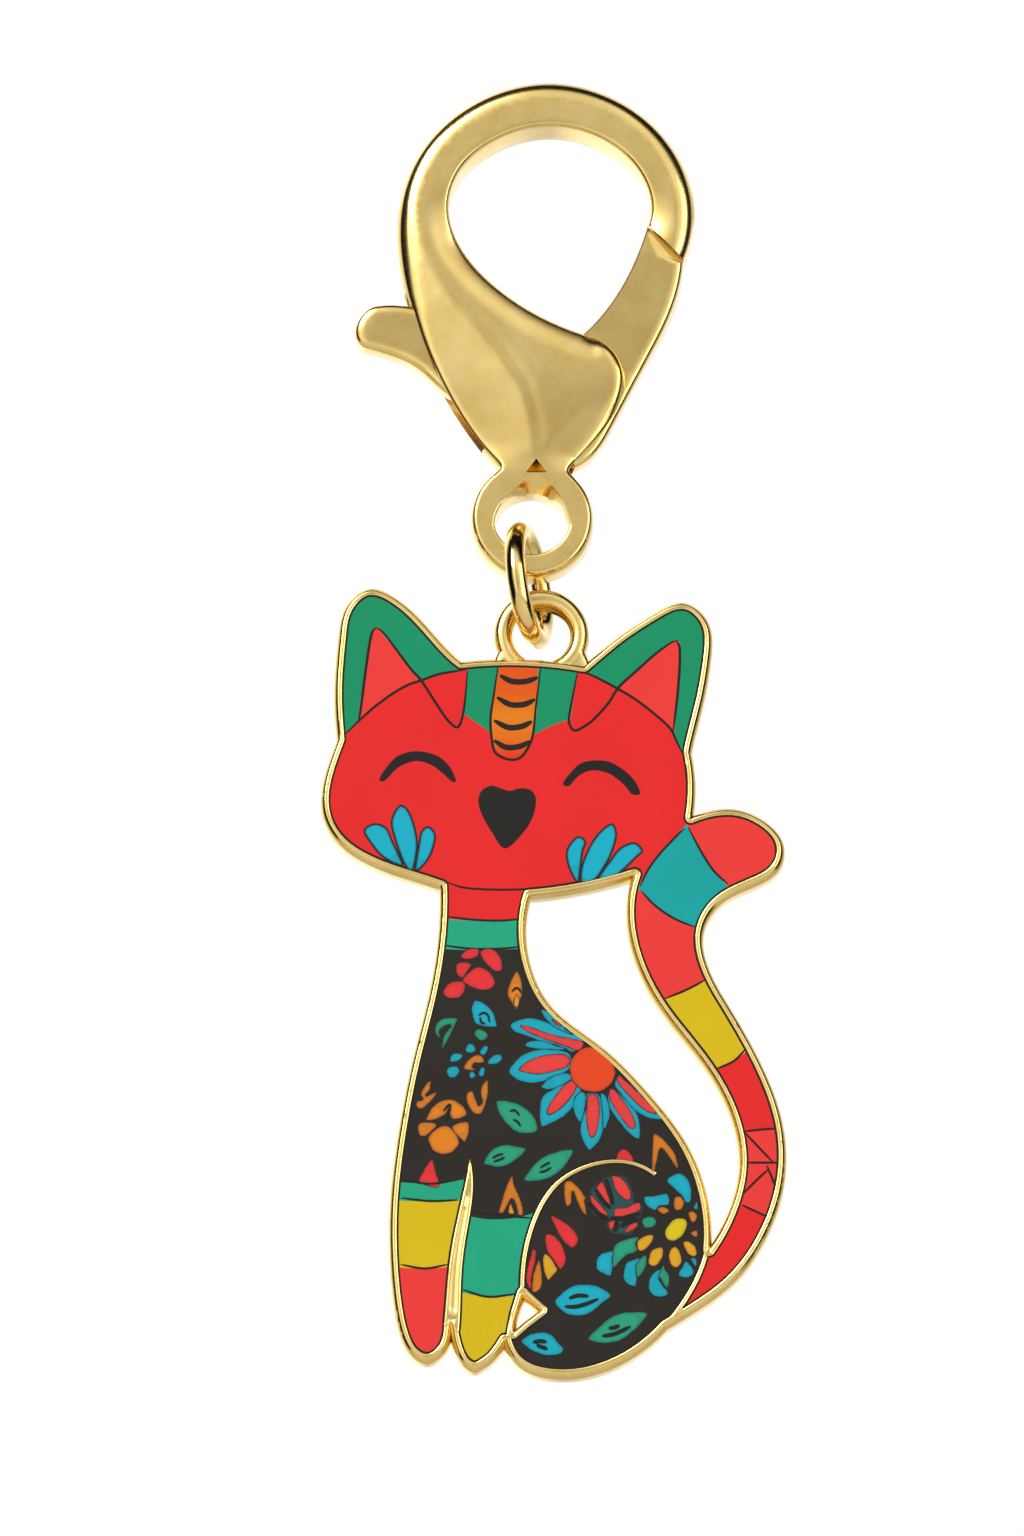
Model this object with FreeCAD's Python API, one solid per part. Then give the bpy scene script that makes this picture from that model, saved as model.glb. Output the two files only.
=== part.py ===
"""Bag charm: an enamelled cat on a jump ring under a spring-gate lobster clasp.

Millimetres, +Z up, front faces -Y. The origin is the hook seat: the top of the
clasp's opening, where the charm hangs from whatever it is clipped to.
"""
import FreeCAD
import Part
import math
import os

V = FreeCAD.Vector
RIBBON_STEPS = 3           # points of a ribbon's side for each drawn span
SMALLEST_FACE = 0.05       # mm2, slivers under this are dropped from a cut face

# ---- driving dimensions -------------------------------------------------
CLASP_LENGTH = 34.0        # crown of the hook to the middle of the eye
CLASP_THICKNESS = 4.2
SLOT_WIDTH = 2.3           # gap between the two cheeks
GATE_SIDE_CLEARANCE = 0.1  # between the gate and each cheek
GATE_TIP_GAP = 0.08        # gate tip to hook tip when closed
GATE_TIP_THICKNESS = 3.8   # the gate thickens to this where it meets the hook
PIN_DIAMETER = 1.6
PIN_RUNNING_CLEARANCE = 0.04
PIN_COVER = 0.35           # skin of the cheek left over each pin end
SPRING_DIAMETER = 1.5
SPRING_WIRE = 0.26
SPRING_TURNS = 5
SPRING_SEAT_GAP = 0.05
SPRING_FREE_PLAY = 0.1

EYE_HOLE_RADIUS = 2.9
EYE_BAR = 1.5
EYE_THICKNESS = 3.0

RING_WIRE = 1.55
RING_SLACK = 1.3           # daylight between the ring wire and the eye bar
BAR_GAP = 1.0              # daylight between the eye bar and the bail, inside the ring
RING_TWIST = 14.0          # degrees about Z
RING_LEAN = 6.0            # degrees about Y
RING_SIDE_SHIFT = 0.2      # ring sits this far left of the eye's middle

BAIL_HOLE_RADIUS = 2.15
BAIL_BAR = 1.45
BAIL_THICKNESS = 2.4
BAIL_OFFSET = 0.1          # bail centre, to the right of the hook seat

CHARM_HEIGHT = 60.9        # ear tip to lowest point of the haunch
CHARM_THICKNESS = 2.6
RIM_WIDTH = 0.42
POCKET_DEPTH = 0.6         # rim top to the floor the enamel lies on
ENAMEL_STEP = 0.1          # rim stands proud of the enamel
FINE_WALL = 0.28           # thin metal line inside the enamel

# ---- sizes that follow ---------------------------------------------------
DRAWN_CLASP_LENGTH = 34.0
DRAWN_CHARM_HEIGHT = 60.9
clasp_scale = CLASP_LENGTH / DRAWN_CLASP_LENGTH
charm_scale = CHARM_HEIGHT / DRAWN_CHARM_HEIGHT

gate_thickness = SLOT_WIDTH - 2 * GATE_SIDE_CLEARANCE
eye_outer_radius = EYE_HOLE_RADIUS + EYE_BAR
bail_outer_radius = BAIL_HOLE_RADIUS + BAIL_BAR

# the eye's rim passes through the corners of the neck
NECK_MIDDLE = (-0.6, -26.9)
NECK_HALF_WIDTH = 2.25
eye_x = NECK_MIDDLE[0] * clasp_scale
eye_drop = math.sqrt(eye_outer_radius ** 2 - (NECK_HALF_WIDTH * clasp_scale) ** 2)
eye_z = NECK_MIDDLE[1] * clasp_scale - eye_drop

# the ring goes round both bars, and its wire passes the middle of the bail hole
bail_slack = BAIL_HOLE_RADIUS - RING_WIRE / 2
ring_inner_radius = (RING_SLACK + EYE_BAR + BAR_GAP + BAIL_BAR + bail_slack) / 2
ring_mean_radius = ring_inner_radius + RING_WIRE / 2
ring_x = eye_x - RING_SIDE_SHIFT
ring_z = eye_z - EYE_HOLE_RADIUS + RING_SLACK - ring_inner_radius
bail_z = ring_z - ring_mean_radius

front = -CHARM_THICKNESS / 2
pocket_floor = front + POCKET_DEPTH
enamel_top = front + ENAMEL_STEP


# ---- drawing helpers -----------------------------------------------------
def on_clasp(x, z):
    """A point of the clasp's drawing, measured from the hook seat."""
    return V(x * clasp_scale, 0, z * clasp_scale)


def on_charm(x, z):
    """A point of the charm's drawing, measured from the middle of the bail hole."""
    return V(x * charm_scale, 0, z * charm_scale + bail_z)


def curve(points, place):
    """A smooth edge through the points, or a straight one through two."""
    placed = [place(x, z) for x, z in points]
    if len(placed) == 2:
        return Part.LineSegment(placed[0], placed[1]).toShape()
    spline = Part.BSplineCurve()
    spline.interpolate(placed)
    return spline.toShape()


def loop(stretches, place):
    """A closed face whose stretches meet end to end at corners."""
    edges = [curve(stretch, place) for stretch in stretches]
    return Part.Face(Part.Wire(edges))


def patch(points, place):
    """A closed straight-sided face."""
    placed = [place(x, z) for x, z in points]
    return Part.Face(Part.makePolygon(placed + placed[:1]))


def slab(face, y_low, y_high):
    """The face, drawn at y = 0, made solid between two planes."""
    solid = face.extrude(V(0, y_high - y_low, 0))
    solid.translate(V(0, y_low, 0))
    return solid


def disc(x, z, radius):
    circle = Part.makeCircle(radius, V(x, 0, z), V(0, -1, 0))
    return Part.Face(Part.Wire(circle))


def rod(x, z, radius, y_low, y_high):
    return Part.makeCylinder(radius, y_high - y_low, V(x, y_low, z), V(0, 1, 0))


def ribbon(points, width, place):
    """A thin strip of even width along a drawn curve, cut square at its ends."""
    edge = curve(points, place)
    first, last = edge.ParameterRange
    steps = RIBBON_STEPS * (len(points) - 1)
    sides = [[], []]
    for i in range(steps + 1):
        at = first + (last - first) * i / steps
        along = edge.tangentAt(at)
        across = V(-along.z, 0, along.x) * (width / 2)
        sides[0].append(edge.valueAt(at) + across)
        sides[1].append(edge.valueAt(at) - across)
    edges = []
    for side in sides:
        spline = Part.BSplineCurve()
        spline.interpolate(side)
        edges.append(spline.toShape())
    edges.append(Part.LineSegment(sides[0][0], sides[1][0]).toShape())
    edges.append(Part.LineSegment(sides[0][-1], sides[1][-1]).toShape())
    return Part.Face(Part.Wire(Part.__sortEdges__(edges)))


def faces_of(shape):
    return [face for face in shape.Faces if face.Area > SMALLEST_FACE]


# ---- clasp ---------------------------------------------------------------
PIVOT = (-0.1, -20.9)
HOOK_CROWN = [(-9.9, -13.3), (-10.5, -9.8), (-10.4, -5.9), (-9.0, -2.1), (-5.5, 1.5),
              (0.2, 3.4), (5.6, 2.2), (9.3, -0.8), (11.2, -4.6), (11.5, -7.4), (10.8, -10.5)]
HOOK_TIP = [(10.8, -10.5), (8.15, -7.85)]
HOOK_HOLE = [(8.15, -7.85), (8.35, -5.9), (7.4, -3.5), (4.8, -1.1), (0.6, 0.0), (-3.5, -1.2),
             (-6.1, -3.6), (-6.9, -6.6), (-5.8, -9.8), (-3.2, -12.7), (0.2, -15.0), (3.5, -16.4)]
CHEEK_LOBE = [(3.5, -16.4), (5.1, -17.3), (6.2, -19.2), (5.9, -21.6), (4.2, -24.4), (1.8, -27.0)]
CHEEK_LEFT = [(-2.7, -26.8), (-4.9, -24.1), (-7.2, -20.3), (-8.7, -16.9), (-9.9, -13.3)]
NECK = [(1.8, -27.0), (-2.7, -26.8)]

GATE_BACK = [(10.8, -10.5), (9.8, -14.7), (7.7, -18.9), (5.4, -23.4), (4.0, -25.6), (2.6, -26.6)]
GATE_TAIL = [(2.6, -26.6), (1.4, -25.6), (0.2, -24.0), (-1.6, -22.9), (-3.6, -22.3)]
LEVER_UNDER = [(-3.6, -22.3), (-5.6, -21.6), (-7.5, -20.4), (-9.2, -18.8), (-11.2, -17.8), (-13.2, -17.2)]
LEVER_END = [(-13.2, -17.2), (-13.85, -16.5), (-13.6, -15.0), (-12.2, -14.0)]
LEVER_TOP = [(-12.2, -14.0), (-9.6, -14.1), (-6.0, -15.4), (-2.0, -17.2), (1.6, -17.6)]
GATE_INNER = [(1.6, -17.6), (4.0, -15.6), (6.2, -12.6), (8.15, -7.85)]
SLOT_ROOF = [(-12.0, -13.0), (-9.4, -12.9), (-6.4, -13.2), (-4.2, -12.4), (-3.2, -11.0)]
EYE_SHOULDER = math.radians(35)    # where the round hole turns into its pointed top
EYE_APEX_RISE = 0.55
EYE_APEX_SHIFT = 0.2
SPRING_LEDGE_Z = -25.2
SPRING_HEAD_Z = -22.36
SPRING_X = -3.4
SLOT_MOUTH = [(-2.0, -9.0), (6.5, -10.5), (12.0, -15.0), (12.0, -27.6)]
SLOT_FLOOR = [(-1.0, -27.6), (-2.2, SPRING_LEDGE_Z), (-12.0, SPRING_LEDGE_Z)]
GATE_TIP = [(8.15, -7.85), (10.8, -10.5)]
TIP_CLEARED = [(7.0, -6.8), (8.15, -7.85), (10.8, -10.5), (12.0, -11.7), (12.0, -6.8)]
GATE_HEAD = [(0.0, -13.5), (14.0, -13.5), (14.0, -4.0), (0.0, -4.0)]    # the thick part lies in this


def clasp_outline():
    return loop([HOOK_CROWN, HOOK_TIP, HOOK_HOLE, CHEEK_LOBE, NECK, CHEEK_LEFT], on_clasp)


def slot_outline():
    """Room between the cheeks for the gate: open to both sides and to the hook hole."""
    return patch(SLOT_ROOF + SLOT_MOUTH + SLOT_FLOOR, on_clasp)


def eye_hole():
    """A round hole drawn up to a point under the neck."""
    apex = V(eye_x + EYE_APEX_SHIFT, 0, eye_z + EYE_HOLE_RADIUS + EYE_APEX_RISE)
    reach = EYE_HOLE_RADIUS * math.cos(EYE_SHOULDER)
    rise = EYE_HOLE_RADIUS * math.sin(EYE_SHOULDER)
    left = V(eye_x - reach, 0, eye_z + rise)
    right = V(eye_x + reach, 0, eye_z + rise)
    bottom = V(eye_x, 0, eye_z - EYE_HOLE_RADIUS)
    edges = [Part.Arc(left, bottom, right).toShape()]
    edges.append(Part.LineSegment(right, apex).toShape())
    edges.append(Part.LineSegment(apex, left).toShape())
    return Part.Face(Part.Wire(edges))


def clasp_body():
    half = CLASP_THICKNESS / 2
    body = slab(clasp_outline(), -half, half)
    room_for_gate = slab(slot_outline(), -SLOT_WIDTH / 2, SLOT_WIDTH / 2)
    body = body.cut(room_for_gate)
    eye = slab(disc(eye_x, eye_z, eye_outer_radius), -EYE_THICKNESS / 2, EYE_THICKNESS / 2)
    body = body.fuse(eye.cut(room_for_gate))
    body = body.cut(slab(eye_hole(), -half, half))
    return body.cut(gate_pivot_pin()).removeSplitter()


def pivot():
    return on_clasp(*PIVOT)


def gate():
    """Gate arm, hub and thumb lever in one casting, thin between the cheeks and thick at its tip."""
    outline = loop([GATE_BACK, GATE_TAIL, LEVER_UNDER, LEVER_END, LEVER_TOP, GATE_INNER, GATE_TIP], on_clasp)
    head = faces_of(outline.common(patch(GATE_HEAD, on_clasp)))[0]
    solid = slab(outline, -gate_thickness / 2, gate_thickness / 2)
    solid = solid.fuse(slab(head, -GATE_TIP_THICKNESS / 2, GATE_TIP_THICKNESS / 2))
    cleared = patch(TIP_CLEARED, on_clasp)
    cleared.translate(V(-GATE_TIP_GAP, 0, -GATE_TIP_GAP))
    solid = solid.cut(slab(cleared, -GATE_TIP_THICKNESS, GATE_TIP_THICKNESS))
    bore = rod(pivot().x, pivot().z, PIN_DIAMETER / 2 + PIN_RUNNING_CLEARANCE,
               -gate_thickness, gate_thickness)
    return solid.cut(bore)


def gate_pivot_pin():
    reach = CLASP_THICKNESS / 2 - PIN_COVER
    return rod(pivot().x, pivot().z, PIN_DIAMETER / 2, -reach, reach)


def gate_spring():
    """Compression coil between the ledge in the slot and the underside of the lever."""
    foot = on_clasp(SPRING_X, SPRING_LEDGE_Z)
    head = on_clasp(SPRING_X, SPRING_HEAD_Z)
    mean_radius = (SPRING_DIAMETER - SPRING_WIRE) / 2
    height = head.z - foot.z - SPRING_WIRE - 2 * SPRING_SEAT_GAP - SPRING_FREE_PLAY
    helix = Part.makeHelix(height / SPRING_TURNS, height, mean_radius)
    section = Part.Wire(Part.makeCircle(SPRING_WIRE / 2, V(mean_radius, 0, 0), V(0, 1, 0)))
    coil = Part.Wire(helix).makePipeShell([section], True, True)
    coil.translate(foot + V(0, 0, SPRING_SEAT_GAP + SPRING_WIRE / 2))
    return coil


# ---- jump ring -----------------------------------------------------------
def jump_ring():
    ring = Part.makeTorus(ring_mean_radius, RING_WIRE / 2, V(0, 0, 0), V(1, 0, 0))
    ring.rotate(V(0, 0, 0), V(0, 1, 0), -RING_LEAN)
    ring.rotate(V(0, 0, 0), V(0, 0, 1), -RING_TWIST)
    ring.translate(V(ring_x, 0, ring_z))
    return ring


# ---- charm: outline of the casting ----------------------------------------
EAR_LEFT = [(-15.1, -8.3), (-15.3, -4.7), (-15.0, -0.2), (-14.5, 2.0), (-12.8, 3.4),
            (-11.0, 2.8), (-8.2, 0.1), (-5.9, -2.3)]
CROWN = [(-5.9, -2.3), (-1.3, -2.1), (3.3, -2.6)]
EAR_RIGHT = [(3.3, -2.6), (5.7, -0.5), (8.6, 1.5), (10.9, 2.3), (12.4, 1.1), (12.7, -1.8),
             (12.1, -5.4), (11.2, -9.3)]
HEAD_RIGHT = [(11.2, -9.3), (11.5, -11.8), (11.3, -14.4)]
TAIL_OUTER = [(11.3, -14.4), (12.8, -13.9), (14.6, -13.8), (16.8, -14.7), (18.1, -16.4),
              (17.8, -18.2), (15.9, -19.5), (13.3, -21.0), (12.1, -23.2), (12.4, -25.8),
              (14.3, -29.5), (16.6, -33.9), (18.0, -38.1), (18.1, -42.6), (16.8, -46.7),
              (14.1, -50.5), (11.9, -52.2), (9.4, -53.8)]
HAUNCH = [(9.4, -53.8), (6.7, -56.1), (3.5, -57.4), (0.5, -57.5), (-1.4, -56.8), (-2.2, -55.9),
          (-2.6, -54.9)]
FOOT_RIGHT = [(-2.6, -54.9), (-2.9, -55.4), (-3.25, -55.9), (-3.7, -56.4), (-4.25, -56.8), (-4.85, -57.05),
              (-5.5, -56.8), (-6.05, -56.05), (-6.4, -55.0), (-6.67, -53.4)]
LEG_LEFT = [(-6.67, -53.4), (-6.82, -54.6), (-7.1, -55.45), (-7.6, -56.05), (-8.4, -56.4), (-9.2, -56.15),
            (-9.85, -55.45), (-10.4, -54.1), (-10.8, -52.0),
            (-11.1, -48.6), (-11.1, -44.5), (-10.5, -39.0), (-9.4, -33.1), (-8.2, -28.1),
            (-7.5, -23.5), (-7.4, -19.7)]
HEAD_LEFT = [(-7.4, -19.7), (-10.1, -18.8), (-12.9, -17.7), (-15.1, -16.1), (-16.2, -13.9),
             (-16.2, -12.0), (-15.7, -10.0), (-15.1, -8.3)]

GAP_BODY = [(-0.8, -20.4), (-1.2, -23.0), (-0.9, -25.6), (0.7, -29.0), (4.4, -32.1),
            (8.1, -35.9), (10.9, -39.8), (12.3, -43.6), (12.6, -48.0)]
GAP_TAIL = [(12.6, -48.0), (14.3, -44.7), (15.0, -41.3), (14.2, -37.0), (12.2, -33.3),
            (9.2, -29.3), (7.2, -25.3), (6.6, -22.0), (7.1, -18.8)]
GAP_HEAD = [(7.1, -18.8), (4.3, -19.6), (-0.8, -20.4)]
NOTCH = [(-1.3, -51.3), (0.1, -52.6), (-1.1, -53.55), (-2.05, -54.4), (-1.8, -53.0)]
OUTER_STRETCHES = [EAR_LEFT, CROWN, EAR_RIGHT, HEAD_RIGHT, TAIL_OUTER, HAUNCH, FOOT_RIGHT,
                   LEG_LEFT, HEAD_LEFT]
GAP_STRETCHES = [GAP_BODY, GAP_TAIL, GAP_HEAD]

# ---- charm: metal lines inside the enamel ----------------------------------
LEG_WEB = [[(-5.25, -40.9), (-5.85, -44.1), (-6.5, -47.2), (-6.85, -49.7), (-7.02, -51.9), (-7.18, -53.8)],
           [(-7.18, -53.8), (-6.7, -53.5)],
           [(-6.7, -53.5), (-6.08, -54.3)],
           [(-6.08, -54.3), (-5.97, -52.3), (-5.88, -49.7), (-5.6, -47.2), (-5.1, -44.1), (-5.25, -40.9)]]
HAUNCH_LINE = [(-1.35, -51.2), (-1.25, -49.0), (-0.5, -45.8), (1.2, -42.9), (3.7, -41.4),
               (6.2, -41.1), (8.6, -42.1)]
TAIL_ROOT_LINE = [(12.4, -48.2), (11.7, -50.2), (10.3, -52.6), (9.2, -54.0)]

# ---- charm: colour fields --------------------------------------------------
HEAD_TOP_LEFT = [(-16.4, -9.9), (-14.7, -8.0), (-12.4, -5.8), (-9.9, -4.0), (-7.6, -3.2), (-5.0, -2.8)]
HEAD_TOP_RIGHT = [(2.4, -2.6), (3.6, -3.2), (7.3, -5.2), (9.7, -7.4), (10.6, -9.3), (11.4, -11.6)]
INNER_EAR_LEFT = [[(-12.5, 0.4), (-13.1, -2.7), (-13.8, -8.5)], [(-13.8, -8.5), (-7.6, -5.6)],
                  [(-7.6, -5.6), (-8.9, -3.7), (-10.6, -1.6), (-12.2, 0.5)],
                  [(-12.2, 0.5), (-12.5, 0.4)]]
INNER_EAR_RIGHT = [[(10.2, -0.5), (8.6, -1.7), (5.9, -4.1), (4.6, -5.4)], [(4.6, -5.4), (9.9, -9.6)],
                   [(9.9, -9.6), (10.3, -5.0), (10.5, -0.7)], [(10.5, -0.7), (10.2, -0.5)]]
STRIPE = [[(-3.1, -1.2), (-3.4, -4.7), (-3.7, -6.7), (-3.5, -8.7), (-2.4, -9.8), (-1.1, -9.2),
           (-0.5, -7.9), (-0.2, -5.0), (0.2, -1.2)], [(0.2, -1.2), (-3.1, -1.2)]]
FOREHEAD = [(-5.3, -1.2), (-5.4, -3.0), (-5.7, -6.3), (-3.8, -7.7), (-2.2, -8.6), (-0.6, -8.0),
            (0.9, -7.2), (2.3, -6.7), (2.8, -3.0), (3.2, -1.2)]
HEAD_BOTTOM = [(-8.0, -19.0), (-5.8, -19.8), (-2.7, -20.1), (-0.9, -19.9)]
HEAD_TO_TAIL = [(7.2, -20.4), (8.1, -18.4), (9.6, -16.4), (11.9, -14.0)]
NECK_LOW = [(-9.0, -22.1), (-4.0, -22.4), (-0.2, -22.2)]
COLLAR_LOW = [(-9.0, -24.5), (-4.0, -24.7), (-0.2, -24.5)]
LEG_LEFT_BANDS = [(-42.4, -42.8), (-43.9, -44.2), (-49.0, -49.4)]
LEG_RIGHT_BANDS = [(-44.9, -45.6), (-51.0, -51.6)]
TAIL_TIP_EDGE = [(10.6, -14.1), (11.1, -15.1), (12.2, -17.2), (13.1, -18.6), (14.9, -20.4)]
TAIL_TEAL_LOW = [(6.6, -19.1), (7.5, -20.1), (10.0, -22.2), (12.8, -23.2)]
TAIL_CORAL_LOW = [(8.5, -28.8), (11.0, -27.8), (13.2, -26.6)]
TAIL_YELLOW_LOW = [(12.3, -34.2), (14.5, -33.3), (16.3, -31.6)]
TAIL_RED_LOW = [(14.3, -38.9), (18.9, -38.5)]
TAIL_ZIGZAG_LOW = [(14.4, -44.2), (18.0, -45.9)]
TAIL_ROOT_SIDE = [(12.6, -46.4), (12.3, -48.4), (11.7, -50.2), (10.3, -52.6), (8.4, -55.4)]


def closed_by(edge_points, corners):
    """A face bounded by one drawn curve and straight lines through far corners."""
    stretches = [edge_points]
    ends = [edge_points[-1]] + corners + [edge_points[0]]
    for start, end in zip(ends, ends[1:]):
        stretches.append([start, end])
    return loop(stretches, on_charm)


def charm_outline():
    outer = loop(OUTER_STRETCHES, on_charm)
    gap = loop(GAP_STRETCHES, on_charm)
    return outer.cut(gap).cut(patch(NOTCH, on_charm)).Faces[0]


def enamel_field():
    """Everything inside the rim, less the thin metal lines."""
    field = charm_outline()
    for stretch in OUTER_STRETCHES + GAP_STRETCHES:
        field = field.cut(ribbon(stretch, 2 * RIM_WIDTH, on_charm))
        corner = on_charm(*stretch[0])
        field = field.cut(disc(corner.x, corner.z, RIM_WIDTH))
    for start, end in zip(NOTCH, NOTCH[1:] + NOTCH[:1]):
        field = field.cut(ribbon([start, end], 2 * RIM_WIDTH, on_charm))
        corner = on_charm(*start)
        field = field.cut(disc(corner.x, corner.z, RIM_WIDTH))
    field = field.cut(loop(LEG_WEB, on_charm))
    field = field.cut(ribbon(HAUNCH_LINE, FINE_WALL, on_charm))
    return field.cut(ribbon(TAIL_ROOT_LINE, FINE_WALL, on_charm))


def leg_band(side, top, bottom):
    """A band across one leg, between two heights given at its edge and its middle."""
    left, right = side
    middle = (left + right) / 2
    upper = [(left, top[0]), (middle, top[1]), (right, top[0])]
    lower = [(right, bottom[0]), (middle, bottom[1]), (left, bottom[0])]
    return loop([upper, [upper[-1], lower[0]], lower, [lower[-1], upper[0]]], on_charm)


def colour_regions():
    """Named regions in the order they are taken; each keeps what is still free."""
    ear_left = closed_by(HEAD_TOP_LEFT, [(-5.0, 4.6), (-17.5, 4.6)])
    ear_right = closed_by(HEAD_TOP_RIGHT, [(14.0, -9.0), (14.0, 4.6), (2.4, 4.6)])
    inner_left = loop(INNER_EAR_LEFT, on_charm)
    inner_right = loop(INNER_EAR_RIGHT, on_charm)
    stripe = loop(STRIPE, on_charm)
    head_corners = [(-0.4, -21.6), (6.6, -21.6)]
    head = loop([HEAD_BOTTOM, [HEAD_BOTTOM[-1], head_corners[0]], head_corners,
                 [head_corners[1], HEAD_TO_TAIL[0]], HEAD_TO_TAIL,
                 [HEAD_TO_TAIL[-1], (14.0, -12.0)], [(14.0, -12.0), (14.0, 6.0)],
                 [(14.0, 6.0), (-18.0, 6.0)], [(-18.0, 6.0), (-18.0, -19.0)],
                 [(-18.0, -19.0), HEAD_BOTTOM[0]]], on_charm)
    forehead = patch(FOREHEAD, on_charm)
    forehead_left = forehead.common(patch([(-6.5, 0), (-2.0, 0), (-2.0, -9), (-6.5, -9)], on_charm))
    regions = [("ear_inner_left", inner_left.common(ear_left)),
               ("ear_inner_right", inner_right.common(ear_right)),
               ("ear_left", ear_left),
               ("ear_right", ear_right),
               ("forehead_stripe", stripe),
               ("forehead_left", forehead_left),
               ("forehead_right", forehead),
               ("face", head),
               ("neck", closed_by(NECK_LOW, [(-0.2, -18.6), (-9.0, -18.6)])),
               ("collar", closed_by(COLLAR_LOW, [(-0.2, -21.0), (-9.0, -21.0)]))]
    left_leg = patch([(-12.4, -41.8), (-5.3, -41.8), (-5.4, -43.2), (-6.0, -49.0), (-6.4, -53.4),
                      (-6.6, -57.8), (-12.4, -57.8)], on_charm)
    bands = LEG_LEFT_BANDS + [(-57.5, -57.5)]
    for name, top, bottom in zip(("leg_left_teal", "leg_left_yellow", "foot_left_coral"), bands, bands[1:]):
        regions.append((name, leg_band((-12.4, -5.2), top, bottom).common(left_leg)))
    right_leg = patch([(-5.45, -44.0), (-0.25, -44.9), (-0.75, -46.5), (-1.2, -48.7), (-1.35, -51.2),
                       (-1.9, -53.6), (-2.4, -57.6), (-6.5, -57.6), (-6.5, -53.0)], on_charm)
    bands = LEG_RIGHT_BANDS + [(-58.0, -58.0)]
    for name, top, bottom in zip(("leg_right_teal", "foot_right_yellow"), bands, bands[1:]):
        regions.append((name, leg_band((-6.6, 0.0), top, bottom).common(right_leg)))
    regions += [("tail_tip", closed_by(TAIL_TIP_EDGE, [(20, -20), (20, -12), (10.6, -12)])),
                ("tail_teal", closed_by(TAIL_TEAL_LOW, [(15.5, -21.5), (15.5, -13), (6.6, -13)])),
                ("tail_coral", closed_by(TAIL_CORAL_LOW, [(14.5, -18), (5.2, -18)])),
                ("tail_yellow", closed_by(TAIL_YELLOW_LOW, [(14.5, -26), (7.8, -26)])),
                ("tail_red_upper", closed_by(TAIL_RED_LOW, [(18.9, -31), (10.4, -31)])),
                ("tail_coral_zigzag", closed_by(TAIL_ZIGZAG_LOW, [(19.5, -38), (13.5, -38)])),
                ("tail_red_lower", closed_by(TAIL_ROOT_SIDE, [(19.5, -55.4), (19.5, -44), (13.6, -44)]))]
    return regions


def enamel_cells():
    """Each colour's solid; the black body takes all that the other colours leave."""
    free = enamel_field()
    cells = {}
    for name, region in colour_regions():
        taken = free.common(region)
        cells["enamel_" + name] = taken
        free = free.cut(region)
    cells["enamel_body_black"] = free
    solids = {}
    for name, shape in cells.items():
        pieces = [slab(face, enamel_top, pocket_floor) for face in faces_of(shape)]
        solids[name] = pieces[0] if len(pieces) == 1 else Part.makeCompound(pieces)
    return solids


def charm_plate():
    """Casting with bail: a flat back, a raised rim and the pocket for the enamel."""
    plate = slab(charm_outline(), front, -front)
    post = patch([(BAIL_OFFSET - bail_outer_radius, 0), (BAIL_OFFSET + bail_outer_radius, 0),
                  (BAIL_OFFSET + bail_outer_radius, -2.9), (BAIL_OFFSET - bail_outer_radius, -2.7)],
                 lambda x, z: V(x, 0, z * charm_scale + bail_z))
    half = BAIL_THICKNESS / 2
    bail = slab(post, -half, half).fuse(rod(BAIL_OFFSET, bail_z, bail_outer_radius, -half, half))
    bail = bail.cut(rod(BAIL_OFFSET, bail_z, BAIL_HOLE_RADIUS, -half, half))
    for face in faces_of(enamel_field()):
        pocket = slab(face, front - 1, pocket_floor)
        plate = plate.cut(pocket)
        bail = bail.cut(pocket)
    return plate.fuse(bail).removeSplitter()


# ---- output --------------------------------------------------------------
def main():
    parts = {"clasp_body": clasp_body(), "gate": gate(), "gate_pivot_pin": gate_pivot_pin(),
             "gate_spring": gate_spring(), "jump_ring": jump_ring(), "charm_plate": charm_plate()}
    parts.update(enamel_cells())
    os.makedirs("parts", exist_ok=True)
    for name, shape in parts.items():
        shape.exportStep("parts/" + name + ".step")
        print(name, round(shape.Volume, 2), len(shape.Solids), shape.isValid())


main()
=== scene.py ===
"""Looks of the enamelled cat charm: gold casting, poured enamel, printed line work."""
import bpy
import bmesh
import math
import numpy as np
from mathutils import Matrix, Vector
from mathutils.geometry import delaunay_2d_cdt


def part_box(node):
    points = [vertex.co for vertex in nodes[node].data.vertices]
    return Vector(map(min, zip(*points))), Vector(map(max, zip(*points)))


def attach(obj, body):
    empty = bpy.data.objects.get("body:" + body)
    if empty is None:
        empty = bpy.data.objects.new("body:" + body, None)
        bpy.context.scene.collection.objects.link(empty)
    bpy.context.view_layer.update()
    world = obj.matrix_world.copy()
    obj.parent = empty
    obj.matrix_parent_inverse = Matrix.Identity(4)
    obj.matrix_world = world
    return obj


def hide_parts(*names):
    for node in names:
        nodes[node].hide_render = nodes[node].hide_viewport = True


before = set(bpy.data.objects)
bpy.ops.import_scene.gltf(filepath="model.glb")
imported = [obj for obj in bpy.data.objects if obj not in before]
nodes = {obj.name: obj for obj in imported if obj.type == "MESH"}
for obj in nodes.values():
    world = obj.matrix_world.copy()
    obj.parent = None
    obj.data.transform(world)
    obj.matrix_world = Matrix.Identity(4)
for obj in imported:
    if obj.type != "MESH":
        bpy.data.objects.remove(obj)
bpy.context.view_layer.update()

MM = 0.001
PLANE_TOLERANCE = 0.002     # mm, how near a face lies to the plane it is looked for in
CROWDED = 0.35              # share of a step under which a point on a gentle curve is dropped
CORNER_TURN = 0.35          # sine of the turn that counts as a corner
SHARPEST_MITRE = 0.35
LONGEST_MITRE = 1.6
ROW_KEEP = 0.93             # a row's point stays if it is at least this share of its distance in


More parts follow.
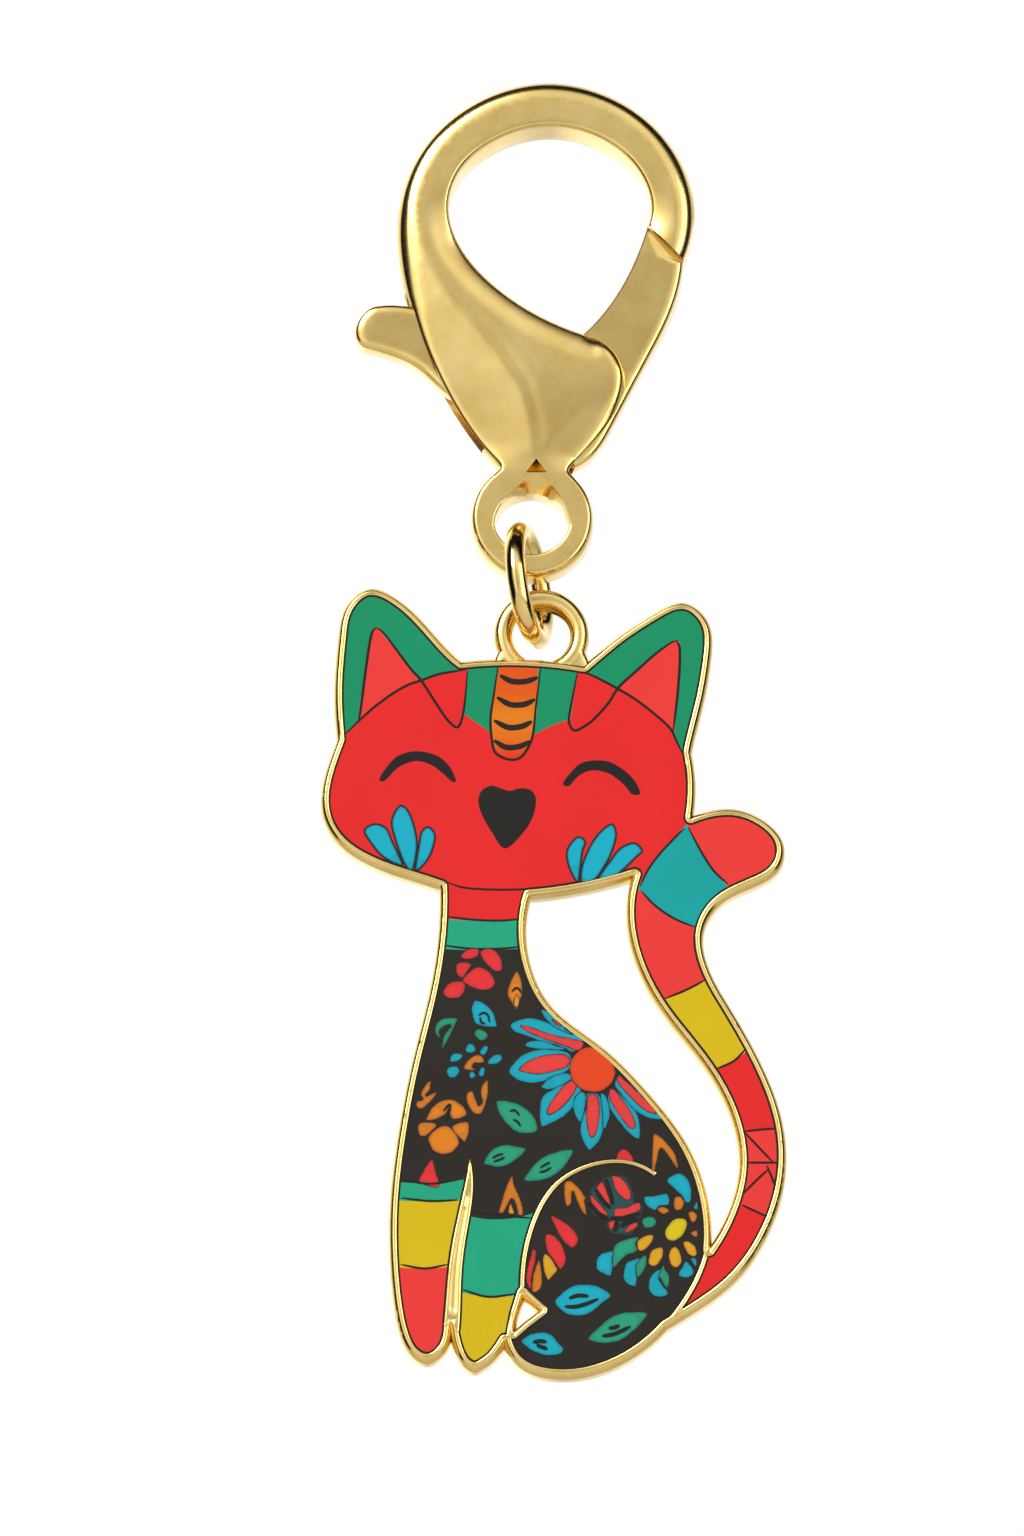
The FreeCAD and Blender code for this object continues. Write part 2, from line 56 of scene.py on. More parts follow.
# ---- colours and material nodes ----------------------------------------------
def hex_colour(code):
    """An sRGB hex value as the linear RGBA that the shader takes."""
    channels = []
    for i in (1, 3, 5):
        c = int(code[i:i + 2], 16) / 255
        channels.append(c / 12.92 if c <= 0.04045 else ((c + 0.055) / 1.055) ** 2.4)
    return channels + [1.0]


def add(tree, kind, settings=None, links=None):
    """Adds a node, sets its sockets and properties, and links its inputs."""
    made = tree.nodes.new(kind)
    for key, value in (settings or {}).items():
        if isinstance(key, int) or key in made.inputs:
            made.inputs[key].default_value = value
        else:
            setattr(made, key, value)
    for key, source in (links or {}).items():
        tree.links.new(source, made.inputs[key])
    return made


def new_material(name):
    """A material with an empty node tree, and that tree."""
    material = bpy.data.materials.new(name)
    material.use_nodes = True
    material.node_tree.nodes.clear()
    return material, material.node_tree


def ramp_stops(node, stops):
    """Sets the colour stops of a ramp node from (position, hex) pairs."""
    elements = node.color_ramp.elements
    while len(elements) > len(stops):
        elements.remove(elements[-1])
    while len(elements) < len(stops):
        elements.new(1.0)
    for element, (position, code) in zip(elements, stops):
        element.position = position
        element.color = hex_colour(code)


def satin_gold(name, low, high, roughness=0.19, grain_mm=0.25, relief=0.02):
    """Gold plated zinc, satin polished: soft highlights over a faint cloudy tone."""
    material, tree = new_material(name)
    place = add(tree, "ShaderNodeTexCoord")
    cloud = add(tree, "ShaderNodeTexNoise", {"Scale": 1 / (2.4 * MM), "Detail": 3.0, "Roughness": 0.55},
                {"Vector": place.outputs["Object"]})
    grain = add(tree, "ShaderNodeTexNoise", {"Scale": 1 / (grain_mm * MM), "Detail": 4.0},
                {"Vector": place.outputs["Object"]})
    tone = add(tree, "ShaderNodeValToRGB", links={"Fac": cloud.outputs["Fac"]})
    ramp_stops(tone, [(0.3, low), (0.7, high)])
    rough = add(tree, "ShaderNodeMapRange", {"To Min": roughness - 0.05, "To Max": roughness + 0.07},
                {"Value": grain.outputs["Fac"]})
    bump = add(tree, "ShaderNodeBump", {"Strength": relief, "Distance": 0.05 * MM},
               {"Height": grain.outputs["Fac"]})
    shader = add(tree, "ShaderNodeBsdfPrincipled", {"Metallic": 1.0},
                 {"Base Color": tone.outputs["Color"], "Roughness": rough.outputs["Result"],
                  "Normal": bump.outputs["Normal"]})
    add(tree, "ShaderNodeOutputMaterial", links={"Surface": shader.outputs["BSDF"]})
    return material


def poured_enamel(name, body, shade, roughness=0.34):
    """Soft enamel, poured and cured: even colour, slow surface waves, smooth gloss."""
    material, tree = new_material(name)
    place = add(tree, "ShaderNodeTexCoord")
    settle = add(tree, "ShaderNodeTexNoise", {"Scale": 1 / (6.0 * MM), "Detail": 2.0},
                 {"Vector": place.outputs["Object"]})
    speck = add(tree, "ShaderNodeTexNoise", {"Scale": 1 / (0.12 * MM), "Detail": 2.0},
                {"Vector": place.outputs["Object"]})
    tone = add(tree, "ShaderNodeValToRGB", links={"Fac": settle.outputs["Fac"]})
    ramp_stops(tone, [(0.3, shade), (0.7, body)])
    rough = add(tree, "ShaderNodeMapRange", {"To Min": roughness - 0.04, "To Max": roughness + 0.05},
                {"Value": speck.outputs["Fac"]})
    wave = add(tree, "ShaderNodeBump", {"Strength": 0.06, "Distance": 0.2 * MM},
               {"Height": settle.outputs["Fac"]})
    orange_peel = add(tree, "ShaderNodeBump", {"Strength": 0.015, "Distance": 0.02 * MM},
                      {"Height": speck.outputs["Fac"], "Normal": wave.outputs["Normal"]})
    shader = add(tree, "ShaderNodeBsdfPrincipled", {"IOR": 1.5, "Specular IOR Level": 0.25},
                 {"Base Color": tone.outputs["Color"], "Roughness": rough.outputs["Result"],
                  "Normal": orange_peel.outputs["Normal"]})
    add(tree, "ShaderNodeOutputMaterial", links={"Surface": shader.outputs["BSDF"]})
    return material


def printed_ink(name, shade, body, edge, line=0.04, soft=0.2, mottle=0.16):
    """Pad printed ink under a clear cure: brushed tone inside, a soft dark edge round each shape.

    line and soft are the widths, in mm, of the dark edge and of the shading inside it."""
    material, tree = new_material("pad_printed_" + name)
    place = add(tree, "ShaderNodeTexCoord")
    gap = add(tree, "ShaderNodeAttribute", {"attribute_name": "edge_gap"})
    brush = add(tree, "ShaderNodeTexNoise", {"Scale": 1 / (0.55 * MM), "Detail": 4.0, "Roughness": 0.6},
                {"Vector": place.outputs["Object"]})
    wobble = add(tree, "ShaderNodeMath", {"operation": "MULTIPLY_ADD", 1: mottle, 2: -mottle / 2},
                 {0: brush.outputs["Fac"]})
    edge_place = add(tree, "ShaderNodeMath", {"operation": "ADD"},
                     {0: gap.outputs["Fac"], 1: wobble.outputs["Value"]})
    reach = add(tree, "ShaderNodeMapRange", {"From Min": 0.0, "From Max": 2 * soft},
                {"Value": edge_place.outputs["Value"]})
    tone = add(tree, "ShaderNodeValToRGB", links={"Fac": reach.outputs["Result"]})
    ramp_stops(tone, [(line / (2 * soft), edge), (line / soft, shade), (0.75, body)])
    shader = add(tree, "ShaderNodeBsdfPrincipled", {"IOR": 1.5, "Specular IOR Level": 0.3, "Roughness": 0.3},
                 {"Base Color": tone.outputs["Color"]})
    add(tree, "ShaderNodeOutputMaterial", links={"Surface": shader.outputs["BSDF"]})
    return material


# Satin polished gold plate: warm pale yellow metal whose broad faces stay even and whose bevels flash.
gold = satin_gold("satin_gold_plating", "#EDCB78", "#F7D98F", relief=0.012)
# Drawn wire with a bright dip: the same gold with harder, darker reflections along the wire.
bright_gold = satin_gold("bright_gold_wire", "#EFCF7C", "#F8DF98", roughness=0.12)


def spring_metal(name, low, high, roughness, along_mm):
    """Plain steel, ground or drawn: grey, with fine marks that stretch the highlights one way."""
    material, tree = new_material(name)
    place = add(tree, "ShaderNodeTexCoord")
    drawn = add(tree, "ShaderNodeMapping", {"Scale": (1.0, 1.0 / along_mm, 1.0)},
                {"Vector": place.outputs["Object"]})
    marks = add(tree, "ShaderNodeTexNoise", {"Scale": 1 / (0.12 * MM), "Detail": 3.0},
                {"Vector": drawn.outputs["Vector"]})
    tone = add(tree, "ShaderNodeValToRGB", links={"Fac": marks.outputs["Fac"]})
    ramp_stops(tone, [(0.3, low), (0.7, high)])
    shader = add(tree, "ShaderNodeBsdfPrincipled", {"Metallic": 1.0, "Roughness": roughness},
                 {"Base Color": tone.outputs["Color"]})
    add(tree, "ShaderNodeOutputMaterial", links={"Surface": shader.outputs["BSDF"]})
    return material


# Ground steel pin: cool grey with faint scoring, hidden inside the cheeks and the gate.
pin_steel = spring_metal("ground_steel_pin", "#8F9092", "#B4B5B6", 0.3, 4.0)
# Spring wire: darker drawn steel with a duller highlight, down in the slot between the cheeks.
spring_steel = spring_metal("drawn_spring_wire", "#6E6F72", "#97999B", 0.36, 2.0)


def stripe_enamel():
    """Two enamels run together while wet: orange that turns golden down the stripe, red at its foot."""
    material = poured_enamel("shaded_enamel_orange", "#D84C00", "#D84C00")
    tree = material.node_tree
    low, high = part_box("enamel_forehead_stripe")
    place = add(tree, "ShaderNodeTexCoord")
    split = add(tree, "ShaderNodeSeparateXYZ", links={0: place.outputs["Object"]})
    down = add(tree, "ShaderNodeMapRange", {"From Min": low.z, "From Max": high.z},
               {"Value": split.outputs["Z"]})
    tone = add(tree, "ShaderNodeValToRGB", links={"Fac": down.outputs["Result"]})
    ramp_stops(tone, [(0.04, "#D83008"), (0.2, "#D86400"), (0.45, "#D97A00"), (0.7, "#D65400"),
                      (1.0, "#D64C00")])
    shader = next(node for node in tree.nodes if node.type == "BSDF_PRINCIPLED")
    tree.links.new(tone.outputs["Color"], shader.inputs["Base Color"])
    return material


# Black line ink: nearly flat black with a trace of warmth, so that drawn lines stay crisp against any colour.
line_ink = poured_enamel("black_line_ink", "#1D1A16", "#191613", roughness=0.3)

# Poured soft enamels: each a full, even colour with a broad dull gloss, a touch deeper where it settles.
ENAMELS = {
    "red": ("#DC1F1E", "#D81E1D", ["face", "neck", "tail_red_upper", "tail_red_lower"]),
    "coral": ("#E23530", "#DE332F", ["ear_inner_left", "ear_inner_right", "foot_left_coral", "tail_tip",
                                     "tail_coral", "tail_coral_zigzag"]),
    "green": ("#008A5E", "#008659", ["ear_left", "ear_right", "forehead_left", "forehead_right"]),
    "teal": ("#179F78", "#149A73", ["collar", "leg_left_teal", "leg_right_teal"]),
    "sea_blue": ("#009C99", "#009692", ["tail_teal"]),
    "yellow": ("#D0B200", "#CBAD00", ["leg_left_yellow", "foot_right_yellow", "tail_yellow"]),
    "black": ("#231E18", "#201B15", ["body_black"]),
}
for colour, (body, shade, cells) in ENAMELS.items():
    paint = poured_enamel("poured_enamel_" + colour, body, shade)
    for cell in cells:
        node = nodes["enamel_" + cell]
        node.data.materials.clear()
        node.data.materials.append(paint)
nodes["enamel_forehead_stripe"].data.materials.clear()
nodes["enamel_forehead_stripe"].data.materials.append(stripe_enamel())
for name, metal in (("clasp_body", gold), ("gate", gold), ("jump_ring", bright_gold), ("charm_plate", gold),
                    ("gate_pivot_pin", pin_steel), ("gate_spring", spring_steel)):
    nodes[name].data.materials.clear()
    nodes[name].data.materials.append(metal)


# ---- outlines taken from the frame ---------------------------------------------
def boundary_loops(triangles):
    """Chains the edges that only one triangle uses into closed loops of vertex keys."""
    ahead = {}
    for triangle in triangles:
        for start, end in zip(triangle, triangle[1:] + triangle[:1]):
            if start in ahead.get(end, ()):
                ahead[end].remove(start)
            else:
                ahead.setdefault(start, []).append(end)
    loops = []
    for start in list(ahead):
        while ahead[start]:
            loop = [start]
            at = ahead[start].pop()
            while at != start:
                loop.append(at)
                at = ahead[at].pop()
            loops.append(loop)
    return loops


def signed_area(loop):
    """The loop's area, negative when it runs clockwise."""
    x, z = np.array(loop).T
    return 0.5 * float(np.sum(x * np.roll(z, -1) - np.roll(x, -1) * z))


def facing_outline(node, y):
    """Loops, in mm, round the node's faces that lie in the plane y; the faces are on their left."""
    mesh = nodes[node].data
    keys = [(round(v.co.x / MM, 4), round(v.co.z / MM, 4)) for v in mesh.vertices]
    level = [abs(v.co.y / MM - y) < PLANE_TOLERANCE for v in mesh.vertices]
    flat = []
    for polygon in mesh.polygons:
        corners = list(polygon.vertices)
        if all(level[i] for i in corners):
            flat.append([keys[i] for i in corners])
    loops = [loop for loop in boundary_loops(flat) if len(loop) > 2]
    if sum(signed_area(loop) for loop in loops) < 0:
        loops = [loop[::-1] for loop in loops]
    return loops


def evened(loop, step):
    """The loop with long edges divided and crowded points dropped."""
    points = [np.array(p, dtype=float) for p in loop]
    kept = []
    for i, point in enumerate(points):
        following = points[(i + 1) % len(points)]
        if kept and np.linalg.norm(point - kept[-1]) < CROWDED * step:
            before = points[i - 1]
            turn = np.cross(point - before, following - point)
            if abs(turn) < CORNER_TURN * np.linalg.norm(point - before) * np.linalg.norm(following - point):
                continue
        parts = max(1, int(math.ceil(np.linalg.norm(following - point) / step)))
        for k in range(parts):
            kept.append(point + (following - point) * k / parts)
    return np.array(kept)


def inside(points, loops):
    """True for each point that an odd number of the loops' edges lies right of."""
    odd = np.zeros(len(points), dtype=bool)
    x, z = points.T
    for loop in loops:
        ends = np.roll(loop, -1, axis=0)
        for (x0, z0), (x1, z1) in zip(loop, ends):
            if z0 == z1:
                continue
            crosses = (z0 > z) != (z1 > z)
            odd ^= crosses & (x < (x1 - x0) * (z - z0) / (z1 - z0) + x0)
    return odd


def distance_to(points, loops):
    """Each point's distance to the nearest edge of the loops."""
    nearest = np.full(len(points), 1e9)
    for loop in loops:
        ends = np.roll(loop, -1, axis=0)
        for start, end in zip(loop, ends):
            along = end - start
            share = ((points - start) @ along) / max(float(along @ along), 1e-12)
            gap = points - start - np.outer(np.clip(share, 0, 1), along)
            nearest = np.minimum(nearest, np.einsum("ij,ij->i", gap, gap))
    return np.sqrt(nearest)


def moved_out(loop, reach):
    """The loop moved to its right by reach, square to its edges."""
    before = loop - np.roll(loop, 1, axis=0)
    after = np.roll(loop, -1, axis=0) - loop
    before /= np.linalg.norm(before, axis=1)[:, None]
    after /= np.linalg.norm(after, axis=1)[:, None]
    mean = before + after
    mean /= np.maximum(np.linalg.norm(mean, axis=1)[:, None], 1e-6)
    widen = 1 / np.maximum(np.einsum("ij,ij->i", mean, after), SHARPEST_MITRE)
    outward = np.stack([mean[:, 1], -mean[:, 0]], axis=1)
    return loop + outward * (reach * np.minimum(widen, LONGEST_MITRE))[:, None]


def tiled(loops, rows, grid):
    """Triangles over the region left of the loops: rows that follow the edge, then a plain grid.

    Gives points, each point's distance to the edge, triangles, and the loops as point numbers."""
    points = []
    edges = []
    rings = []
    for loop in loops:
        first = len(points)
        points.extend(loop)
        ring = list(range(first, len(points)))
        rings.append(ring)
        edges.extend(zip(ring, ring[1:] + ring[:1]))
    extra = []
    for row in rows:
        for loop in loops:
            shifted = moved_out(loop, -row)
            gap = distance_to(shifted, loops)
            keep = inside(shifted, loops) & (gap > row * ROW_KEEP)
            extra.append(shifted[keep])
    corner_low = np.min([loop.min(axis=0) for loop in loops], axis=0)
    corner_high = np.max([loop.max(axis=0) for loop in loops], axis=0)
    xs = np.arange(corner_low[0], corner_high[0], grid)
    zs = np.arange(corner_low[1], corner_high[1], grid * math.sqrt(3) / 2)
    lattice = np.array([(x + (k % 2) * grid / 2, z) for k, z in enumerate(zs) for x in xs])
    lattice = lattice[inside(lattice, loops)]
    if len(lattice):
        lattice = lattice[distance_to(lattice, loops) > rows[-1] + grid * 0.5]
        extra.append(lattice)
    for block in extra:
        points.extend(block)
    flat = [Vector((float(p[0]), float(p[1]))) for p in points]
    found, _, faces, origins, _, _ = delaunay_2d_cdt(flat, edges, [], 0, 1e-5)
    spots = np.array([(p.x, p.y) for p in found])
    place = {}
    for index, sources in enumerate(origins):
        for source in sources:
            place[source] = index
    centres = spots[np.array(faces)].mean(axis=1)
    triangles = [face for face, keep in zip(faces, inside(centres, loops)) if keep]
    gap = distance_to(spots, loops)
    return spots, gap, triangles, [[place[i] for i in ring] for ring in rings]


def joined_outline(regions):
    """The outline round several regions together, each given by its loops."""
    points = [p for loops in regions for loop in loops for p in loop]
    edges = []
    first = 0
    for loops in regions:
        for loop in loops:
            ring = list(range(first, first + len(loop)))
            edges.extend(zip(ring, ring[1:] + ring[:1]))
            first += len(loop)
    flat = [Vector((float(p[0]), float(p[1]))) for p in points]
    found, _, faces, _, _, _ = delaunay_2d_cdt(flat, edges, [], 0, 1e-5)
    spots = np.array([(p.x, p.y) for p in found])
    centres = spots[np.array([list(face) for face in faces])].mean(axis=1)
    held = np.zeros(len(faces), dtype=bool)
    for loops in regions:
        held |= inside(centres, loops)
    kept = [list(face) for face, keep in zip(faces, held) if keep]
    loops = [[tuple(spots[i]) for i in ring] for ring in boundary_loops(kept)]
    if sum(signed_area(loop) for loop in loops) < 0:
        loops = [loop[::-1] for loop in loops]
    return loops


# ---- castings ------------------------------------------------------------------
def rounding(gap, width, depth):
    """How far a rounded edge falls below its face at each distance from the edge."""
    t = np.clip(1 - np.asarray(gap) / width, 0, 1)
    return depth * (1 - np.sqrt(1 - t ** 2))


def chamfer(gap, width, depth):
    """How far a flat-cut edge falls below its face at each distance from the edge."""
    return depth * np.clip(1 - np.asarray(gap) / width, 0, 1)


def piece_from(name, vertices, faces, material, smooth_angle=None, edge_gaps=None):
    """A mesh object from points in mm; edge_gaps are the points' distances to their shape's edge."""
    mesh = bpy.data.meshes.new(name)
    mesh.from_pydata([(float(x) * MM, float(y) * MM, float(z) * MM) for x, y, z in vertices], [], faces)
    if edge_gaps is not None:
        mesh.attributes.new("edge_gap", "FLOAT", "POINT").data.foreach_set("value", edge_gaps)
    tidy = bmesh.new()
    tidy.from_mesh(mesh)
    if edge_gaps is None:
        bmesh.ops.remove_doubles(tidy, verts=tidy.verts, dist=1e-7)
    bmesh.ops.recalc_face_normals(tidy, faces=tidy.faces)
    for face in tidy.faces:
        face.smooth = True
    if smooth_angle:
        for edge in tidy.edges:
            if len(edge.link_faces) == 2 and edge.calc_face_angle(0) > math.radians(smooth_angle):
                edge.smooth = False
    tidy.to_mesh(mesh)
    tidy.free()
    mesh.materials.append(material)
    made = bpy.data.objects.new(name, mesh)
    bpy.context.scene.collection.objects.link(made)
    return made


def casting(name, loops, front, back, material, rows, grid, wall=((0.5, 0.0),), smooth_angle=None,
            swell=None):
    """A closed solid: a relief in front, one behind, and walls with the given bulge between.

    front and back give y for (points, gap); wall lists (share of the way back, reach outwards), and
    swell gives the share of that reach at each point of an outline."""
    spots, gap, triangles, rings = tiled(loops, rows, grid)
    y_front = front(spots, gap)
    y_back = back(spots, gap)
    count = len(spots)
    vertices = [(x, y, z) for (x, z), y in zip(spots, y_front)]
    vertices += [(x, y, z) for (x, z), y in zip(spots, y_back)]
    faces = [tuple(t) for t in triangles]
    faces += [tuple(i + count for i in reversed(t)) for t in triangles]
    for ring in rings:
        outline = spots[ring]
        above = list(ring)
        for share, reach in wall:
            moved = moved_out(outline, reach) if reach else outline
            if swell:
                moved = outline + (moved - outline) * swell(outline)[:, None]
            level = y_front[ring] * (1 - share) + y_back[ring] * share
            first = len(vertices)
            vertices += [(x, y, z) for (x, z), y in zip(moved, level)]
            below = list(range(first, len(vertices)))
            faces += wall_strip(above, below)
            above = below
        faces += wall_strip(above, [i + count for i in ring])
    return piece_from(name, vertices, faces, material, smooth_angle)


def wall_strip(above, below):
    """Quads between two closed rows of point numbers."""
    size = len(above)
    return [(above[i], above[(i + 1) % size], below[(i + 1) % size], below[i]) for i in range(size)]


# ---- hook, cheeks and eye of the clasp ---------------------------------------
CLASP_FRONT = -2.1          # mm
EYE_FRONT = -1.5
GATE_HEAD_FRONT = -1.9
GATE_FRONT = -1.05          # the gate's face between the cheeks
GATE_THICKENS_FROM = -19.0  # mm, height above which the gate grows thicker
GATE_THICKENS_OVER = 9.0    # mm of height that the growth takes
GATE_TIP_EXTRA = 0.8        # mm gained on each side at the tip
CLASP_FRONT_TO_EYE = EYE_FRONT - CLASP_FRONT
TIP_MIDDLE = np.array((9.48, -9.18))    # where the hook's end meets the gate
TIP_REACH = 2.2
DEEPEST_EDGE = 1.0          # mm, the fall at an edge nears this and never passes it
TIP_ALONG = np.array((0.707, -0.707))
HOOK_MIDDLE = np.array((-0.5, -8.0))
HOOK_INNER_REACH = 9.6      # edges nearer to the hook's middle than this belong to its hole
SLOT_HALF = 1.15
SLOT_ROOM = [(-12.0, -13.0), (-9.4, -12.9), (-6.4, -13.2), (-4.2, -12.4), (-3.2, -11.0), (-2.0, -9.0),
             (6.5, -10.5), (12.0, -15.0), (12.0, -27.6), (1.9, -27.6), (0.9, -26.4), (-0.4, -25.7),
             (-2.2, -25.2), (-12.0, -25.2)]
# Where the cheek's long left bevel meets its flat.
RIDGE = [(-9.6, -6.2), (-9.4, -7.8), (-8.7, -10.6), (-7.2, -13.2), (-5.1, -15.7), (-3.3, -17.9),
         (-1.6, -20.5), (-0.9, -22.7), (-0.5, -25.5)]
NECK_DIMPLE = [(-1.05, -27.2), (0.5, -27.2), (-0.28, -26.1)]    # three-cornered hollow above the eye's hole
EYE_ARCH = [(-3.4, -30.8), (-3.15, -30.06), (-2.3, -28.86), (-1.3, -27.96), (-0.25, -27.25), (0.93, -28.2),
            (1.8, -29.5), (2.25, -30.7), (2.3, -31.5)]    # pointed edge of the hole's wide chamfer
HOLE_TOP = [(1.95, -30.5), (1.55, -29.5), (0.68, -28.86), (-0.68, -28.5), (-2.04, -28.86), (-2.9, -29.6),
            (-3.35, -30.5)]
FUNNEL_MIDDLE = np.array((-0.6, -30.95))
CLASP_WALL = ((0.08, 0.1), (0.25, 0.2), (0.75, 0.2), (0.92, 0.1))
EYE_MIDDLE = np.array((-0.6, -30.68))
EYE_RADIUS = 4.4
EYE_HOLE = 2.9
EYE_HOLE_ZONE = EYE_HOLE + 0.8      # edges nearer to the eye's middle than this belong to its hole


def edge_groups(loops):
    """The clasp's edges as short runs: the outer side, the hook's hole, the lobe and the eye's hole.

    The two ends that meet at the gate's tip are left out, so they stay sharp."""
    groups = {"outer": [], "hook": [], "lobe": [], "eye": []}
    for loop in loops:
        for start, end in zip(loop, np.roll(loop, -1, axis=0)):
            middle = (start + end) / 2
            along = (end - start) / max(np.linalg.norm(end - start), 1e-9)
            at_tip = np.linalg.norm(middle - TIP_MIDDLE) < TIP_REACH and abs(along @ TIP_ALONG) > 0.97
            if at_tip:
                continue
            name = "outer"
            if np.linalg.norm(middle - EYE_MIDDLE) < EYE_HOLE_ZONE:
                name = "eye"
            elif np.linalg.norm(middle - HOOK_MIDDLE) < HOOK_INNER_REACH:
                name = "hook"
            elif middle[0] > 1.2 and -26.3 < middle[1] < -16.4:
                name = "lobe"
            groups[name].append(np.array([start, end]))
    return groups


def smooth_step(value, low, high):
    """0 below low, 1 above high, with an eased rise between them."""
    t = np.clip((np.asarray(value) - low) / (high - low), 0, 1)
    return t * t * (3 - 2 * t)


def clasp_front(spots, groups):
    """Depth below the front plane: outer bevel, rounded hole edge, domed cheeks, neck down to the eye."""
    x, z = spots.T
    gap = {name: distance_to(spots, runs) for name, runs in groups.items()}
    cheek = smooth_step(-z, 10.0, 18.5)
    eye = smooth_step(-z, 25.4, 27.3)
    drop = rounding(gap["outer"], 1.15 - 0.75 * cheek, 0.95 - 0.6 * cheek) * (1 - eye)
    drop += chamfer(gap["outer"], 0.16, 0.16) * eye
    ridge = np.vstack([RIDGE, RIDGE[-2:0:-1]])
    from_ridge = distance_to(spots, [ridge])
    beyond = np.interp(z, [point[1] for point in RIDGE[::-1]], [point[0] for point in RIDGE[::-1]]) - x
    below_crown = smooth_step(-z, 4.6, 8.0)
    bevel_side = smooth_step(beyond, -0.15, 0.25) * below_crown * (1 - smooth_step(-z, 24.5, 27.2))
    drop += bevel_side * (0.02 + 0.135 * from_ridge)
    hollow = np.exp(-((from_ridge - 0.55) / 0.5) ** 2)
    drop += 0.045 * (1 - bevel_side) * hollow * below_crown * cheek
    drop += chamfer(gap["hook"], 0.15, 0.15) + rounding(gap["hook"], 0.4, 0.12)
    drop += 0.6 * np.clip(1 - gap["hook"] / 2.1, 0, 1) ** 2 * smooth_step(-z, 4.0, 11.0)
    drop += rounding(gap["lobe"], 0.7, 0.5) * (1 - eye)
    drop += 0.16 * np.clip(2.4 - gap["lobe"], 0, 2.4) * smooth_step(-z, 20.5, 23.5) * (1 - eye)
    drop += (CLASP_FRONT_TO_EYE - 0.02) * smooth_step(-z, 19.0, 27.2)
    drop += rounding(gap["eye"], 0.2, 0.15) * (1 - smooth_step(z - EYE_MIDDLE[1], 0.6, 2.0))
    return DEEPEST_EDGE * np.tanh(drop / DEEPEST_EDGE)


def wall_swell(outline):
    """Full bulge outside, little in the hook's hole and none where the gate's tip rests."""
    from_tip = np.linalg.norm(outline - TIP_MIDDLE, axis=1)
    in_hook = np.linalg.norm(outline - HOOK_MIDDLE, axis=1) < HOOK_INNER_REACH
    in_eye = np.linalg.norm(outline - EYE_MIDDLE, axis=1) < EYE_HOLE_ZONE
    return smooth_step(from_tip, 1.7, 3.2) * np.where(in_hook | in_eye, 0.3, 1.0)


def circle(middle, radius, count, first=0.0, last=2 * math.pi):
    """Points on a circle, anticlockwise from one angle to another."""
    angles = np.linspace(first, last, count, endpoint=False)
    return np.array([(middle[0] + radius * math.cos(a), middle[1] + radius * math.sin(a)) for a in angles])


def eye_hole_loop():
    """The eye's hole, round below and flatter on top, clockwise."""
    below = circle(EYE_MIDDLE, EYE_HOLE, 40, math.radians(190), math.radians(350))
    return evened([tuple(p) for p in np.vstack([below, smooth_through(HOLE_TOP, closed=False)])], 0.25)[::-1]


def prism(name, outline, y_low, y_high):
    """A plain closed block used only for cutting."""
    count = len(outline)
    vertices = [(x, y_low, z) for x, z in outline] + [(x, y_high, z) for x, z in outline]
    faces = [tuple(range(count)), tuple(range(2 * count - 1, count - 1, -1))]
    faces += wall_strip(list(range(count)), list(range(count, 2 * count)))
    return piece_from(name, vertices, faces, gold)


def funnel():
    """Cutter for the wide chamfer over the eye's hole: pointed in front, round behind."""
    pointed = smooth_through(EYE_ARCH[:5], closed=False)
    pointed = np.vstack([pointed, smooth_through(EYE_ARCH[4:], closed=False)[1:]])
    spread = np.arctan2(*(pointed - FUNNEL_MIDDLE).T[::-1])
    order = np.argsort(spread)
    reach = np.linalg.norm(pointed - FUNNEL_MIDDLE, axis=1)[order]
    spread = spread[order]
    vertices = []
    count = 72
    for depth, wide in ((CLASP_FRONT - 0.4, True), (EYE_FRONT - 0.12, True), (-0.5, False)):
        for k in range(count):
            angle = -math.pi + 2 * math.pi * k / count
            out = np.array((math.cos(angle), math.sin(angle)))
            size = EYE_HOLE * 0.8
            if wide and spread[0] < angle < spread[-1]:
                size = max(size, float(np.interp(angle, spread, reach)))
            spot = FUNNEL_MIDDLE + out * size
            vertices.append((spot[0], depth, spot[1]))
    rows = [list(range(k * count, (k + 1) * count)) for k in range(3)]
    faces = [tuple(rows[0]), tuple(rows[2][::-1])]
    faces += wall_strip(rows[0], rows[1]) + wall_strip(rows[1], rows[2])
    return piece_from("funnel", vertices, faces, gold)


def dimple():
    """Cutter for the three-cornered hollow, deepest at its upper corner."""
    depths = (EYE_FRONT - 0.05, EYE_FRONT - 0.05, EYE_FRONT + 0.7)
    vertices = [(x, CLASP_FRONT - 0.4, z) for x, z in NECK_DIMPLE]
    vertices += [(x, depth, z) for (x, z), depth in zip(NECK_DIMPLE, depths)]
    return piece_from("dimple", vertices, [(0, 1, 2), (5, 4, 3)] + wall_strip([0, 1, 2], [3, 4, 5]), gold)


def merged(piece, tool, operation):
    """Joins a second solid to the piece, or cuts it away, and drops the second solid."""
    modifier = piece.modifiers.new("merge", "BOOLEAN")
    modifier.operation = operation
    modifier.solver = "EXACT"
    modifier.object = tool
    bpy.context.view_layer.update()
    result = bpy.data.meshes.new_from_object(piece.evaluated_get(bpy.context.evaluated_depsgraph_get()))
    piece.modifiers.clear()
    piece.data = result
    bpy.data.objects.remove(tool)
    return piece


